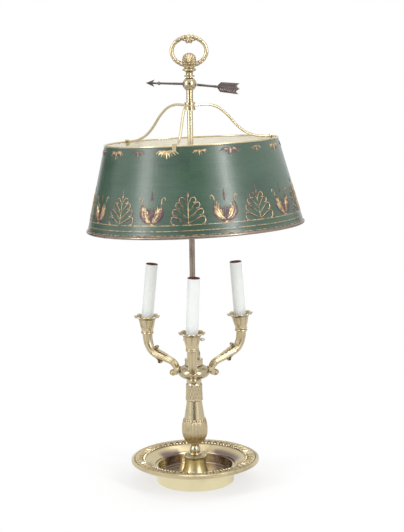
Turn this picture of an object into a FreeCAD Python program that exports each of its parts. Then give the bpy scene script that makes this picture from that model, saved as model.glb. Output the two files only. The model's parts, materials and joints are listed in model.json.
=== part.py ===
import FreeCAD, Part
import math
import os

# Three-light table lamp: dish foot, cast column, three scrolled arms, rod with a sliding cone shade.
# Millimetres, +Z up, origin at the centre of the foot's underside; the front arm points along -Y.

# Clearances
running_fit = 0.08
seat_gap = 0.25
touch_gap = 0.05

# Dish and foot
dish_radius = 110.4
dish_height = 43.0
rim_thickness = 7.4
border_inner_radius = 89.0
border_outer_radius = 105.0
border_relief = 2.0
annulus_inner_z = 30.0
well_radius = 70.0
floor_radius = 62.5
floor_z = 12.0
dish_wall = 2.0
floor_groove_radius = 52.7
floor_groove_depth = 0.6
foot_radius = 67.4
foot_wall = 3.0
foot_lift = 0.3
felt_thickness = 1.2
cover_thickness = 0.9
weight_radius = 58.0
weight_clearance = 0.3
weight_bore_play = 0.2
cover_screw_radius = 1.5
cover_screw_head_radius = 2.8
cover_screw_length = 5.0
cover_screw_circle = 45.0
cord_bore_radius = 3.2
bushing_wall = 1.3
bushing_flange = 1.4
bushing_height = 6.6

# Column, from the dish floor up
tie_radius = 5.0
tie_bore_radius = 3.5
nut_radius = 8.0
nut_height = 3.0
washer_radius = 14.0
washer_thickness = 1.4
socle_bottom_radius = 23.9
socle_top_radius = 17.6
socle_height = 28.4
socle_wall = 2.4
socle_collar_radius = 19.8
socle_collar_height = 7.0
neck_ring_radius = 10.8
neck_bulb_radius = 8.7
neck_waist_radius = 6.9
neck_flange_radius = 10.0
neck_height = 21.6
vase_radius = 21.4
vase_bottom_radius = 12.4
vase_top_radius = 18.1
vase_height = 43.0
shaft_bottom_radius = 17.6
shaft_top_radius = 13.0
shaft_height = 30.9
sleeve_bottom_radius = 14.4
sleeve_top_radius = 13.5
sleeve_height = 29.2
hub_neck_radius = 14.2
hub_neck_waist_radius = 12.8
hub_neck_height = 9.0
hub_radius = 27.5
hub_half_depth = 14.0
hub_height = 24.2
hub_wall = 2.4
cap_drum_radius = 15.7
cap_drum_height = 11.0
cap_bulb_radius = 11.4
cap_height = 26.0
cap_wall = 2.2
cap_web = 3.5

# Switch under the rod
housing_radius = 9.6
housing_height = 33.0
housing_wall = 1.5
housing_floor = 3.0
switch_key_height = 18.0
switch_body_height = 19.4
spindle_radius = 1.6
key_nub_radius = 2.6
key_nub_length = 3.4
key_nub_end = 17.4
key_ring_length = 8.4
key_ring_height = 5.3
key_ring_thickness = 2.2
key_ring_start = 11.3

# Arms and candles
arm_reach = 93.1
arm_rise = 60.4
arm_top_radius = 8.9
arm_middle_radius = 7.4
arm_end_radius = 5.4
arm_boss_radius = 6.0
arm_bore_radius = 2.9
arm_ring_radius = 10.6
arm_ring_height = 3.0
scroll_radius = 7.0
scroll_width = 11.0
arm_nipple_radius = 3.4
arm_nipple_bore = 2.2
arm_nipple_height = 0.8
cup_height = 29.0
cup_foot_radius = 10.2
cup_body_radius = 12.6
cup_rim_radius = 22.7
cup_wall = 1.5
cup_seat_depth = 11.8
candle_radius = 10.3
candle_wall = 0.9
candle_length = 101.6
candle_play = 0.75
socket_depth = 1.5
socket_length = 38.0
socket_bore_radius = 5.95
shell_wall = 0.5
shell_length = 19.0
strap_thickness = 0.9
strap_width = 7.0
cup_nut_radius = 7.0
cup_nut_height = 3.0
candle_nipple_radius = 4.9
candle_nipple_bore = 3.3
candle_nipple_above = 7.0
candle_nipple_below = 12.0
lead_radius = 1.2
lead_spread = 2.8
riser_gap = 1.0

# Each arm: name, azimuth from the front (positive to the right), lift and stretch of its end,
# sideways lean of its cup and of its candle (positive to the right)
arms = [
    ("front", 0.0, 0.0, 0.0, 0.0, 2.6),
    ("right", 120.0, 3.4, 1.5, -4.2, -4.2),
    ("left", -120.0, 0.0, 0.5, 0.0, 5.9),
]

# Rod, shade carrier and finial
rod_radius = 4.75
rod_length = 458.0
rod_grip = 8.0
finial_neck_height = 15.0
finial_neck_radius = 6.85
finial_flange_radius = 11.6
ball_radius = 11.75
carrier_tube_radius = 5.55
carrier_tube_length = 34.1
carrier_tube_grip = 3.0
carrier_flange_radius = 8.9
carrier_flange_height = 2.2
collar_height = 10.6
collar_waist_radius = 7.9
collar_flange_height = 2.0

# Arrow: the point is fixed in the ball, the fletched half is the clamp screw
point_slope = 2.1
key_slope = 6.2
point_reach = 72.6
point_head_length = 13.0
point_head_height = 12.0
point_head_thickness = 3.6
point_shaft_radius = 2.1
point_tip_radius = 1.6
point_bead_radius = 3.0
point_bead_reach = 50.6
screw_radius = 2.0
key_shaft_radius = 2.4
key_reach = 83.4
fletch_length = 38.0
fletch_height = 18.5
fletch_thickness = 2.4
shoe_length = 2.6

# Ring handle
handle_width = 64.4
handle_height = 54.0
handle_tube_radius = 3.5
handle_side_radius = 20.0
handle_shell_width = 20.0
handle_shell_height = 20.0
handle_shell_thickness = 7.0
handle_crown_width = 18.0
handle_crown_height = 9.0
handle_boss_radius = 7.0
handle_boss_height = 5.5

# Shade
shade_top_radius = 144.7
shade_bottom_radius = 180.9
shade_height = 141.3
shade_drop = 59.3
shade_wall = 0.6
top_wire_radius = 1.5
bottom_roll_radius = 2.4
shade_lean_right = 2.2
shade_lean_front = 2.2
lean_pivot_above_rim = 31.6
spoke_radius = 2.25
spoke_socket_depth = 1.9
spoke_end_gap = 0.5
spokes = [("front", -9.0), ("right", 111.0), ("left", -129.0)]
# Corners of the spoke's line: share of the way out to the clip, share of the drop to the top wire
spoke_line = [(0.185, 1.024), (0.319, 0.940), (0.446, 0.714), (0.580, 0.352), (0.711, 0.124), (0.864, 0.015)]
clip_width = 6.7
clip_thickness = 1.5
clip_outside = 9.5
clip_inside = 6.5
clip_gap = 0.4

# Heights that follow from the sizes above
socle_z = floor_z
socle_collar_z = socle_z + socle_height
neck_z = socle_collar_z + socle_collar_height
vase_z = neck_z + neck_height
shaft_z = vase_z + vase_height
sleeve_z = shaft_z + shaft_height
hub_neck_z = sleeve_z + sleeve_height
hub_z = hub_neck_z + hub_neck_height
hub_centre_z = hub_z + hub_height / 2
cap_z = hub_z + hub_height
housing_z = cap_z + cap_height
switch_z = housing_z + switch_key_height
rod_z = housing_z + housing_height - rod_grip
rod_top_z = rod_z + rod_length
handle_z = rod_top_z - handle_boss_height + 1.0
finial_z = handle_z - finial_neck_height
ball_z = finial_z - seat_gap - ball_radius
tube_top_z = ball_z - ball_radius + carrier_tube_grip
collar_z = tube_top_z - carrier_tube_length + carrier_flange_height
collar_middle_z = collar_z + collar_height / 2
shade_top_z = collar_middle_z - shade_drop
shade_bottom_z = shade_top_z - shade_height
cover_z = felt_thickness
weight_z = cover_z + cover_thickness + touch_gap
weight_top_z = floor_z - dish_wall
bore_radius = tie_radius + touch_gap
riser_radius = tie_radius + lead_radius + riser_gap
slide_bore = rod_radius + running_fit
shade_slope = math.atan2(shade_bottom_radius - shade_top_radius, shade_height)

up = FreeCAD.Vector(0, 0, 1)
origin = FreeCAD.Vector(0, 0, 0)


def across(r, z):
    return FreeCAD.Vector(r, 0, z)


def outline(steps):
    # A step is a point, or a pair (through, end) for an arc; the outline closes with a straight edge
    edges = []
    start = steps[0]
    for step in steps[1:]:
        if isinstance(step[0], tuple):
            through, end = step
            edges.append(Part.Arc(across(*start), across(*through), across(*end)).toShape())
        else:
            end = step
            edges.append(Part.LineSegment(across(*start), across(*end)).toShape())
        start = end
    if start != steps[0]:
        edges.append(Part.LineSegment(across(*start), across(*steps[0])).toShape())
    return Part.Face(Part.Wire(edges))


def turned(*steps):
    return outline(steps).revolve(origin, up, 360)


def plate(thickness, *steps):
    # An outline in the XZ plane, thickened evenly to both sides
    face = outline(steps)
    face.translate(FreeCAD.Vector(0, -thickness / 2, 0))
    return face.extrude(FreeCAD.Vector(0, thickness, 0))


def rod_between(start, end, radius):
    axis = end - start
    return Part.makeCylinder(radius, axis.Length, start, axis)


def rounded_path(points):
    # Straight runs joined by tangent arcs, each arc as large as its two runs allow
    edges = []
    start = points[0]
    for before, corner, after in zip(points, points[1:], points[2:]):
        come = (corner - before).normalize()
        go = (after - corner).normalize()
        trim = 0.45 * min((corner - before).Length, (after - corner).Length)
        turn = come.getAngle(go)
        radius = trim / math.tan(turn / 2)
        inward = (go - come).normalize()
        centre = corner + inward * (radius / math.cos(turn / 2))
        first = corner - come * trim
        last = corner + go * trim
        edges.append(Part.LineSegment(start, first).toShape())
        edges.append(Part.Arc(first, centre - inward * radius, last).toShape())
        start = last
    edges.append(Part.LineSegment(start, points[-1]).toShape())
    return Part.Wire(edges)


def pipe(points, radius):
    path = rounded_path(points)
    section = Part.Wire(Part.makeCircle(radius, points[0], points[1] - points[0]))
    return path.makePipeShell([section], True, False)


def tapered_bar(points, radii):
    # Circles square to the line through the points, lofted into one smooth bar
    rings = []
    last = len(points) - 1
    for i, point in enumerate(points):
        direction = points[min(i + 1, last)] - points[max(i - 1, 0)]
        rings.append(Part.Wire(Part.makeCircle(radii[i], point, direction)))
    return Part.makeLoft(rings, True, False)


def turn_to(shape, azimuth):
    # Pieces drawn along +X are turned to their azimuth, measured from the front to the right
    shape.rotate(origin, up, azimuth - 90)
    return shape


def at_azimuth(r, z, azimuth):
    a = math.radians(azimuth)
    return FreeCAD.Vector(r * math.sin(a), -r * math.cos(a), z)


def lean_shade(shape):
    pivot = FreeCAD.Vector(0, 0, shade_top_z + lean_pivot_above_rim)
    shape.rotate(pivot, FreeCAD.Vector(0, -1, 0), shade_lean_right)
    shape.rotate(pivot, FreeCAD.Vector(-1, 0, 0), shade_lean_front)
    return shape


def dish_base():
    rim_z = dish_height
    low_z = rim_z - rim_thickness
    half = rim_thickness / 2
    annulus_outer_z = rim_z - 4.0
    body = turned(
        (bore_radius, floor_z), (floor_radius, floor_z),
        ((floor_radius + 4.0, floor_z + 7.5), (well_radius - 1.5, annulus_inner_z - 1.2)),
        ((well_radius - 0.9, annulus_inner_z - 0.2), (well_radius + 1.0, annulus_inner_z)),
        (border_inner_radius - 2.0, annulus_outer_z),
        ((border_inner_radius - 1.0, annulus_outer_z + 1.6), (border_inner_radius, annulus_outer_z + 2.0)),
        ((0.5 * (border_inner_radius + border_outer_radius), annulus_outer_z + 2.0 + border_relief),
         (border_outer_radius, rim_z - 1.6)),
        (border_outer_radius + 0.6, rim_z - 0.6),
        (dish_radius - 3.2, rim_z - 0.4),
        ((dish_radius, rim_z - half), (dish_radius - 3.0, low_z)),
        (border_outer_radius - 3.0, low_z + 1.2),
        (border_inner_radius, annulus_outer_z - dish_wall),
        (well_radius - 0.5, annulus_inner_z - dish_wall),
        (foot_radius - foot_wall, annulus_inner_z - dish_wall),
        (floor_radius + 0.5, floor_z - dish_wall),
        (bore_radius, floor_z - dish_wall))
    groove = turned(
        (floor_groove_radius - 0.8, floor_z + 0.1), (floor_groove_radius, floor_z - floor_groove_depth),
        (floor_groove_radius + 0.8, floor_z + 0.1))
    return body.cut(groove)


def foot_ring():
    top_z = annulus_inner_z - dish_wall - touch_gap
    ring = turned(
        (foot_radius - foot_wall, foot_lift),
        ((foot_radius - 0.9, foot_lift + 0.9), (foot_radius, foot_lift + 3.0)),
        (foot_radius, top_z), (foot_radius - foot_wall + touch_gap, top_z),
        (foot_radius - foot_wall, top_z - 1.0))
    hole = rod_between(FreeCAD.Vector(0, foot_radius - 2 * foot_wall, bushing_height),
                       FreeCAD.Vector(0, foot_radius + 1, bushing_height),
                       cord_bore_radius + bushing_wall + touch_gap)
    return ring.cut(hole)


def cord_bushing():
    inner = FreeCAD.Vector(0, foot_radius - foot_wall - 0.5, bushing_height)
    face = FreeCAD.Vector(0, foot_radius + touch_gap, bushing_height)
    outer = face + FreeCAD.Vector(0, bushing_flange, 0)
    body = rod_between(inner, outer, cord_bore_radius + bushing_wall)
    flange = rod_between(face, outer, cord_bore_radius + bushing_wall + 1.3)
    bore = rod_between(inner - FreeCAD.Vector(0, 1, 0), outer + FreeCAD.Vector(0, 1, 0), cord_bore_radius)
    return body.fuse(flange).cut(bore).removeSplitter()


def screw_places():
    angles = [math.radians(30 + 120 * i) for i in range(3)]
    return [(cover_screw_circle * math.cos(a), cover_screw_circle * math.sin(a)) for a in angles]


def base_weight():
    step_z = weight_z + nut_height + washer_thickness + 2 * touch_gap
    body = turned(
        (washer_radius + 1.0, weight_z), (weight_radius, weight_z),
        (weight_radius, weight_top_z - weight_clearance),
        (bore_radius + weight_bore_play, weight_top_z - weight_clearance),
        (bore_radius + weight_bore_play, step_z), (washer_radius + 1.0, step_z))
    slot_width = 2 * cord_bore_radius + 1.6
    slot = Part.makeBox(slot_width, weight_radius + 5, weight_top_z + 2,
                        FreeCAD.Vector(-slot_width / 2, washer_radius - 4, 0))
    body = body.cut(slot)
    for x, y in screw_places():
        hole = Part.makeCylinder(cover_screw_radius + 0.1, cover_z + cover_screw_length + 0.5,
                                 FreeCAD.Vector(x, y, 0))
        body = body.cut(hole)
    return body


def bottom_cover():
    cover = Part.makeCylinder(foot_radius - foot_wall - 0.4, cover_thickness, FreeCAD.Vector(0, 0, cover_z))
    for x, y in screw_places():
        cover = cover.cut(Part.makeCylinder(cover_screw_head_radius + 0.1, 10, FreeCAD.Vector(x, y, 0)))
    return cover


def cover_screws():
    screws = []
    for x, y in screw_places():
        head = Part.makeCylinder(cover_screw_head_radius, cover_thickness - 0.1,
                                 FreeCAD.Vector(x, y, cover_z + 0.05))
        shank = Part.makeCylinder(cover_screw_radius, cover_screw_length,
                                  FreeCAD.Vector(x, y, cover_z + 0.05))
        screws.append(head.fuse(shank).removeSplitter())
    return Part.makeCompound(screws)


def felt_pad():
    return Part.makeCylinder(foot_radius - foot_wall - 1.0, felt_thickness - 0.05)


def ring_between(outer, inner, z, height):
    body = Part.makeCylinder(outer, height, FreeCAD.Vector(0, 0, z))
    return body.cut(Part.makeCylinder(inner, height, FreeCAD.Vector(0, 0, z)))


def base_nut():
    corners = [(nut_radius * math.cos(math.radians(60 * i)), nut_radius * math.sin(math.radians(60 * i)))
               for i in range(7)]
    points = [FreeCAD.Vector(x, y, weight_z) for x, y in corners]
    body = Part.Face(Part.makePolygon(points)).extrude(up * nut_height)
    return body.cut(Part.makeCylinder(bore_radius, nut_height, FreeCAD.Vector(0, 0, weight_z)))


def base_washer():
    return ring_between(washer_radius, bore_radius, weight_z + nut_height + touch_gap, washer_thickness)


def tie_tube():
    bottom = weight_z + 0.2
    top = cap_z + cap_web + 6.0
    return ring_between(tie_radius, tie_bore_radius, bottom, top - bottom)


def socle():
    z = socle_z
    top = z + socle_height
    inner_top = top - socle_wall
    return turned(
        (bore_radius, top), (socle_top_radius, top),
        (socle_top_radius, top - 0.8),
        ((0.5 * (socle_top_radius + socle_bottom_radius) - 1.4, z + 0.48 * socle_height),
         (socle_bottom_radius - 0.8, z + 2.6)),
        ((socle_bottom_radius - 0.1, z + 1.8), (socle_bottom_radius, z + 0.8)),
        (socle_bottom_radius, z + touch_gap),
        (socle_bottom_radius - socle_wall, z + touch_gap), (socle_top_radius - socle_wall, inner_top),
        (bore_radius, inner_top))


def socle_collar():
    z = socle_collar_z + touch_gap
    h = socle_collar_height - touch_gap
    r = socle_collar_radius
    return turned(
        (bore_radius, z), (r - 2.6, z), ((r, z + h * 0.45), (r - 2.4, z + h - 1.0)),
        (r - 3.4, z + h - 0.6), (neck_ring_radius + 1.2, z + h), (bore_radius, z + h))


def neck_knop():
    z = neck_z
    h = neck_height
    return turned(
        (bore_radius, z + touch_gap), (neck_ring_radius, z + touch_gap),
        ((neck_ring_radius + 0.9, z + 1.4), (neck_ring_radius, z + 2.8)),
        (neck_bulb_radius, z + 3.4),
        ((neck_bulb_radius + 0.2, z + 0.40 * h), (neck_waist_radius, z + 0.66 * h)),
        ((neck_waist_radius + 0.6, z + 0.80 * h), (neck_flange_radius - 0.4, z + 0.87 * h)),
        (neck_flange_radius, z + 0.89 * h), (neck_flange_radius, z + h), (bore_radius, z + h))


def leaf_vase():
    z = vase_z + touch_gap
    h = vase_height
    r = vase_radius
    return turned(
        (bore_radius, z), (vase_bottom_radius, z), (vase_bottom_radius + 0.6, z + 1.4),
        ((r - 2.5, z + 0.20 * h), (r, z + 0.48 * h)),
        ((r - 0.4, z + 0.74 * h), (vase_top_radius + 0.7, z + 0.95 * h)),
        ((vase_top_radius + 0.9, z + 0.97 * h), (vase_top_radius, z + h - touch_gap)),
        (bore_radius, z + h - touch_gap))


def column_shaft():
    z = shaft_z + touch_gap
    top = z + shaft_height - touch_gap
    return turned((bore_radius, z), (shaft_bottom_radius, z), (shaft_top_radius, top), (bore_radius, top))


def leaf_sleeve():
    z = sleeve_z + touch_gap
    top = z + sleeve_height - touch_gap
    return turned(
        (bore_radius, z), (sleeve_bottom_radius - 0.6, z),
        ((sleeve_bottom_radius, z + 1.2), (sleeve_bottom_radius - 0.3, z + 3.0)),
        ((sleeve_bottom_radius - 1.0, z + 0.5 * sleeve_height), (sleeve_top_radius, top - 1.0)),
        (sleeve_top_radius - 0.4, top), (bore_radius, top))


def hub_neck():
    z = hub_neck_z + touch_gap
    top = z + hub_neck_height - touch_gap
    return turned(
        (bore_radius, z), (hub_neck_waist_radius + 0.6, z), (hub_neck_waist_radius, z + 1.5),
        ((hub_neck_waist_radius + 0.2, top - 3.0), (hub_neck_radius, top)), (bore_radius, top))


def hub_side(radius, half_depth, low, high):
    # Four arcs on the hub's elliptical side, from the low height to the high one
    a0 = math.asin(low / half_depth)
    a1 = math.asin(high / half_depth)
    points = [(radius * math.cos(a0 + (a1 - a0) * i / 8),
               hub_centre_z + half_depth * math.sin(a0 + (a1 - a0) * i / 8)) for i in range(9)]
    return points[0], [(points[i], points[i + 1]) for i in range(1, 9, 2)]


def arm_hub():
    half = hub_height / 2
    start, arcs = hub_side(hub_radius, hub_half_depth, -half + touch_gap, half)
    outer = turned((0, start[1]), start, *arcs, (0, hub_centre_z + half))
    inner_half = half - hub_wall
    start, arcs = hub_side(hub_radius - hub_wall, hub_half_depth - hub_wall, -inner_half, inner_half)
    inner = turned((0, start[1]), start, *arcs, (0, hub_centre_z + inner_half))
    body = outer.cut(inner).cut(Part.makeCylinder(bore_radius, 60, FreeCAD.Vector(0, 0, hub_z - 10)))
    nipple_z = hub_centre_z + arm_nipple_height
    for name, azimuth, lift, stretch, cup_lean, candle_lean in arms:
        body = body.cut(rod_between(at_azimuth(hub_radius / 2, nipple_z, azimuth),
                                    at_azimuth(hub_radius + 4, nipple_z, azimuth),
                                    arm_nipple_radius + touch_gap))
        body = body.cut(lead_hole(azimuth, cap_z - hub_wall - 1.0, cap_z + 1.0))
    return body


def lead_hole(azimuth, low, high):
    place = at_azimuth(riser_radius, low, azimuth)
    return Part.makeCylinder(lead_radius + 0.6, high - low, place)


def column_cap():
    z = cap_z + touch_gap
    top = cap_z + cap_height
    r = cap_drum_radius
    drum_top = z + cap_drum_height
    bulb = cap_bulb_radius
    outer = turned(
        (0, z), (r - 0.8, z), ((r, z + 1.0), (r - 0.5, z + 2.2)),
        (r - 0.5, drum_top - 2.6), ((r, drum_top - 1.4), (r - 0.8, drum_top - 0.4)),
        (bulb - 1.2, drum_top + 0.4),
        ((bulb, 0.5 * (drum_top + top)), (housing_radius - 0.6, top)), (0, top))
    hollow_z = z + cap_web
    inner_radius = bulb - cap_wall
    inner = turned((0, hollow_z), (inner_radius, hollow_z), (inner_radius, top - 3.0),
                   (inner_radius - 1.2, top), (0, top))
    body = outer.cut(inner).cut(Part.makeCylinder(bore_radius, cap_web + 2, FreeCAD.Vector(0, 0, cap_z - 1)))
    for name, azimuth, lift, stretch, cup_lean, candle_lean in arms:
        body = body.cut(lead_hole(azimuth, cap_z - 1, hollow_z + 1))
    return body


def switch_housing():
    z = housing_z + touch_gap
    top = housing_z + housing_height
    r = housing_radius
    inner_top = rod_z - touch_gap
    body = turned(
        (0, z), (r - 0.4, z), ((r, z + 1.0), (r - 0.6, z + 2.2)),
        (r - 0.6, inner_top - 2.0), ((r, inner_top - 0.8), (r - 0.8, inner_top + 0.6)),
        ((rod_radius + 3.2, inner_top + 3.0), (rod_radius + 2.0, top)), (0, top))
    body = body.cut(turned((0, z + housing_floor), (r - 0.6 - housing_wall, z + housing_floor),
                           (r - 0.6 - housing_wall, inner_top - 2.4),
                           (rod_radius + touch_gap, inner_top - 0.4), (0, inner_top - 0.4)))
    rod_socket = Part.makeCylinder(rod_radius + touch_gap, rod_grip + 4,
                                   FreeCAD.Vector(0, 0, inner_top - 0.4))
    lead_hole = Part.makeCylinder(rod_radius, housing_floor + 1, FreeCAD.Vector(0, 0, z - 0.5))
    spindle_hole = rod_between(across(-r - 2, switch_z), across(r + 2, switch_z),
                               spindle_radius + running_fit)
    return body.cut([rod_socket, lead_hole, spindle_hole])


def switch_body():
    z = housing_z + housing_floor + 2 * touch_gap
    radius = housing_radius - 0.6 - housing_wall - 0.3
    body = Part.makeCylinder(radius, switch_body_height, FreeCAD.Vector(0, 0, z))
    return body.cut(rod_between(across(-radius - 1, switch_z), across(radius + 1, switch_z),
                                spindle_radius + running_fit))


def switch_key():
    nub_start = -key_nub_end + key_nub_length
    spindle = rod_between(across(nub_start - 0.5, switch_z), across(key_ring_start + 0.6, switch_z),
                          spindle_radius)
    nub = turned(
        (0, 0), (key_nub_radius - 0.6, 0), (key_nub_radius, 0.6), (key_nub_radius, key_nub_length - 1.2),
        (key_nub_radius - 1.0, key_nub_length), (0, key_nub_length))
    nub.rotate(origin, FreeCAD.Vector(0, 1, 0), -90)
    nub.translate(across(nub_start, switch_z))
    h = key_ring_height / 2
    middle = key_ring_start + key_ring_length / 2
    end = key_ring_start + key_ring_length
    z = switch_z
    paddle = plate(
        key_ring_thickness, (key_ring_start, z - 1.2), ((middle, z - h), (end, z)),
        ((middle, z + h), (key_ring_start, z + 1.2)))
    eye = rod_between(FreeCAD.Vector(middle + 0.6, -9, z), FreeCAD.Vector(middle + 0.6, 9, z), h - 1.3)
    return spindle.fuse([nub, paddle]).cut(eye).removeSplitter()


def arm_points(lift, stretch):
    # Centre line in its own upright plane: distance from the column, height above the hub's centre
    inner = hub_radius
    outer = arm_reach + stretch
    rise = arm_rise + lift
    return [
        (inner + 8.4, -6.0), (inner + 7.6, 0.0), (inner + 9.0, 6.6), (inner + 16.5, 13.4),
        (0.5 * (inner + outer) - 2.0, 0.30 * rise), (outer - 21.5, rise - 38.2),
        (outer - 10.0, rise - 32.6), (outer - 3.2, rise - 22.5), (outer - 0.6, rise - 11.5), (outer, rise),
    ]


def arm_radii():
    # Swells evenly from the scroll to the cup end
    count = 10
    radii = []
    for i in range(count):
        t = i / (count - 1)
        if t < 0.5:
            radii.append(arm_end_radius + (arm_middle_radius - arm_end_radius) * t / 0.5)
        else:
            radii.append(arm_middle_radius + (arm_top_radius - arm_middle_radius) * (t - 0.5) / 0.5)
    return radii


def leaf_curl(r, z, radius, root_r, root_z, width):
    # A curled leaf tip: a short roll with a stalk down to the arm
    roll = rod_between(FreeCAD.Vector(r, -width / 2, z), FreeCAD.Vector(r, width / 2, z), radius)
    side = FreeCAD.Vector(root_r - r, 0, root_z - z)
    side = FreeCAD.Vector(side.z, 0, -side.x).normalize() * (radius * 0.8)
    stalk = plate(width, (r - side.x, z - side.z), (root_r - side.x, root_z - side.z),
                  (root_r + side.x, root_z + side.z), (r + side.x, z + side.z))
    return [roll, stalk]


def arm(azimuth, lift, stretch, cup_lean):
    line = [across(r, hub_centre_z + z) for r, z in arm_points(lift, stretch)]
    top = line[-1]
    bar = tapered_bar(line[:-1] + [top - FreeCAD.Vector(0, 0, 1)], arm_radii())
    scroll_centre = across(hub_radius + 15.0, hub_centre_z - 5.8)
    scroll = rod_between(scroll_centre - FreeCAD.Vector(0, scroll_width / 2, 0),
                         scroll_centre + FreeCAD.Vector(0, scroll_width / 2, 0), scroll_radius)
    nipple_z = hub_centre_z + arm_nipple_height
    boss = rod_between(across(hub_radius + touch_gap, nipple_z), across(hub_radius + 8.0, nipple_z),
                       arm_boss_radius)
    ring = Part.makeCylinder(arm_ring_radius, arm_ring_height, top - FreeCAD.Vector(0, 0, arm_ring_height))
    outer = arm_reach + stretch
    high = hub_centre_z + arm_rise + lift
    upper = leaf_curl(outer - 18.5, high - 25.0, 3.0, outer - 16.0, high - 33.0, 9.0)
    lower = leaf_curl(outer - 26.5, high - 50.4, 3.8, outer - 29.0, high - 41.0, 9.0)
    body = bar.fuse([scroll, boss, ring] + upper + lower)
    bore = pipe([top + FreeCAD.Vector(0, 0, 2)] + line[-2:1:-1] + [line[1]], arm_bore_radius)
    low = cup_seat_depth - cup_height - candle_nipple_below
    socket = Part.makeCylinder(candle_nipple_radius + touch_gap, candle_nipple_below + 4.0,
                               FreeCAD.Vector(0, 0, low))
    socket = place_on_arm(socket, azimuth, lift, stretch, cup_lean, 0)
    hole = rod_between(across(hub_radius - 2, nipple_z), across(hub_radius + 8.0, nipple_z),
                       arm_nipple_radius + touch_gap)
    return turn_to(body.cut([bore, hole]).removeSplitter(), azimuth).cut(socket)


def arm_nipples():
    z = hub_centre_z + arm_nipple_height
    pieces = []
    for name, azimuth, lift, stretch, cup_lean, candle_lean in arms:
        start = at_azimuth(hub_radius - hub_wall - 3.0, z, azimuth)
        end = at_azimuth(hub_radius + 5.0, z, azimuth)
        bore = rod_between(start, end, arm_nipple_bore)
        pieces.append(rod_between(start, end, arm_nipple_radius).cut(bore))
    return Part.makeCompound(pieces)


def arm_leads():
    pieces = []
    for name, azimuth, lift, stretch, cup_lean, candle_lean in arms:
        line = [(r, hub_centre_z + z) for r, z in arm_points(lift, stretch)]
        nipple_z = hub_centre_z + arm_nipple_height
        inner = [
            (hub_radius + 7.2, nipple_z + 0.3), (hub_radius - 5.0, nipple_z), (riser_radius, cap_z - 9.0),
            (riser_radius, cap_z + 13.0), (lead_spread, cap_z + 21.0),
            (lead_spread, housing_z + housing_floor - 0.2)]
        places = [(line[-1][0], line[-1][1] + cup_height - cup_seat_depth + 4.0)] + line[-2:2:-1] + inner
        pieces.append(pipe([at_azimuth(r, z, azimuth) for r, z in places], lead_radius))
    return Part.makeCompound(pieces)


# Cups and candles are drawn upright with z = 0 on the candle seat, then leaned and carried to their arms

def place_on_arm(shape, azimuth, lift, stretch, cup_lean, own_lean):
    # A piece leans in its cup, then with the cup about the cup's foot
    sideways = FreeCAD.Vector(0, 1, 0)
    shape.rotate(FreeCAD.Vector(0, 0, 0.25 * cup_seat_depth), sideways, own_lean)
    shape.rotate(FreeCAD.Vector(0, 0, cup_seat_depth - cup_height), sideways, cup_lean)
    seat = hub_centre_z + arm_rise + lift + cup_height - cup_seat_depth
    shape.translate(at_azimuth(arm_reach + stretch, seat, azimuth))
    return shape


def cup_foot_lift(cup_lean):
    return cup_foot_radius * math.sin(math.radians(abs(cup_lean))) + touch_gap


def candle_cup(azimuth, lift, stretch, cup_lean):
    bottom = cup_seat_depth - cup_height + cup_foot_lift(cup_lean)
    well = candle_radius + candle_play
    lip = cup_seat_depth
    body = turned(
        (candle_nipple_radius + 0.6, bottom), (cup_foot_radius, bottom),
        ((cup_foot_radius + 0.7, bottom + 1.0), (cup_foot_radius, bottom + 2.0)),
        ((cup_body_radius - 1.2, 0.5 * bottom), (cup_body_radius, 3.5)),
        ((cup_body_radius + 2.2, 7.6), (cup_rim_radius - 2.4, lip - 1.8)),
        ((cup_rim_radius - 0.1, lip - 1.2), (cup_rim_radius - 1.2, lip)),
        ((well + 3.6, lip - 1.8), (well, 5.4)),
        (well, 0), (candle_nipple_radius + 0.6, 0))
    return place_on_arm(body, azimuth, lift, stretch, cup_lean, 0)


def candle_hardware(azimuth, lift, stretch, cup_lean, candle_lean):
    # Nipple and nut stand square in the cup; what is above them leans with the candle
    lean = candle_lean - cup_lean
    tilt = math.sin(math.radians(abs(lean)))
    below = cup_seat_depth - cup_height - candle_nipple_below
    nipple = ring_between(candle_nipple_radius, candle_nipple_bore, below, candle_nipple_above - below)
    nut = ring_between(cup_nut_radius, candle_nipple_radius + touch_gap, seat_gap + 0.6, cup_nut_height)
    strap_z = seat_gap + 0.6 + cup_nut_height + cup_nut_radius * tilt + seat_gap
    sleeve_low = candle_radius * tilt + seat_gap
    sleeve_top = sleeve_low + candle_length
    sleeve = ring_between(candle_radius, candle_radius - candle_wall, sleeve_low, candle_length)
    inside = candle_radius - candle_wall - 0.15
    socket_top = sleeve_top - socket_depth
    socket_low = socket_top - socket_length
    core = inside - strap_thickness - 0.1
    shell_bore = socket_bore_radius + shell_wall + touch_gap
    socket = turned(
        (shell_bore, socket_top), (inside, socket_top), (inside, socket_top - 2.0), (core, socket_top - 2.0),
        (core, socket_low), (lead_radius + 0.5, socket_low), (lead_radius + 0.5, socket_low + 3.0),
        (shell_bore, socket_low + 3.0))
    shell = ring_between(socket_bore_radius + shell_wall, socket_bore_radius, socket_top - 0.2 - shell_length,
                         shell_length)
    foot = ring_between(inside - 0.05, candle_nipple_radius + 0.7, strap_z, strap_thickness)
    legs = ring_between(inside - 0.05, inside - 0.05 - strap_thickness, strap_z, socket_top - 2.1 - strap_z)
    band = Part.makeBox(4 * candle_radius, strap_width, candle_length,
                        FreeCAD.Vector(-2 * candle_radius, -strap_width / 2, strap_z))
    strap = foot.fuse(legs.common(band)).removeSplitter()
    fixed = [place_on_arm(piece, azimuth, lift, stretch, cup_lean, 0) for piece in (nipple, nut)]
    leaned = []
    for piece in (sleeve, socket, shell, strap):
        leaned.append(place_on_arm(piece, azimuth, lift, stretch, cup_lean, lean))
    return fixed + leaned


def shade_rod():
    return Part.makeCylinder(rod_radius, rod_length, FreeCAD.Vector(0, 0, rod_z))


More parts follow.
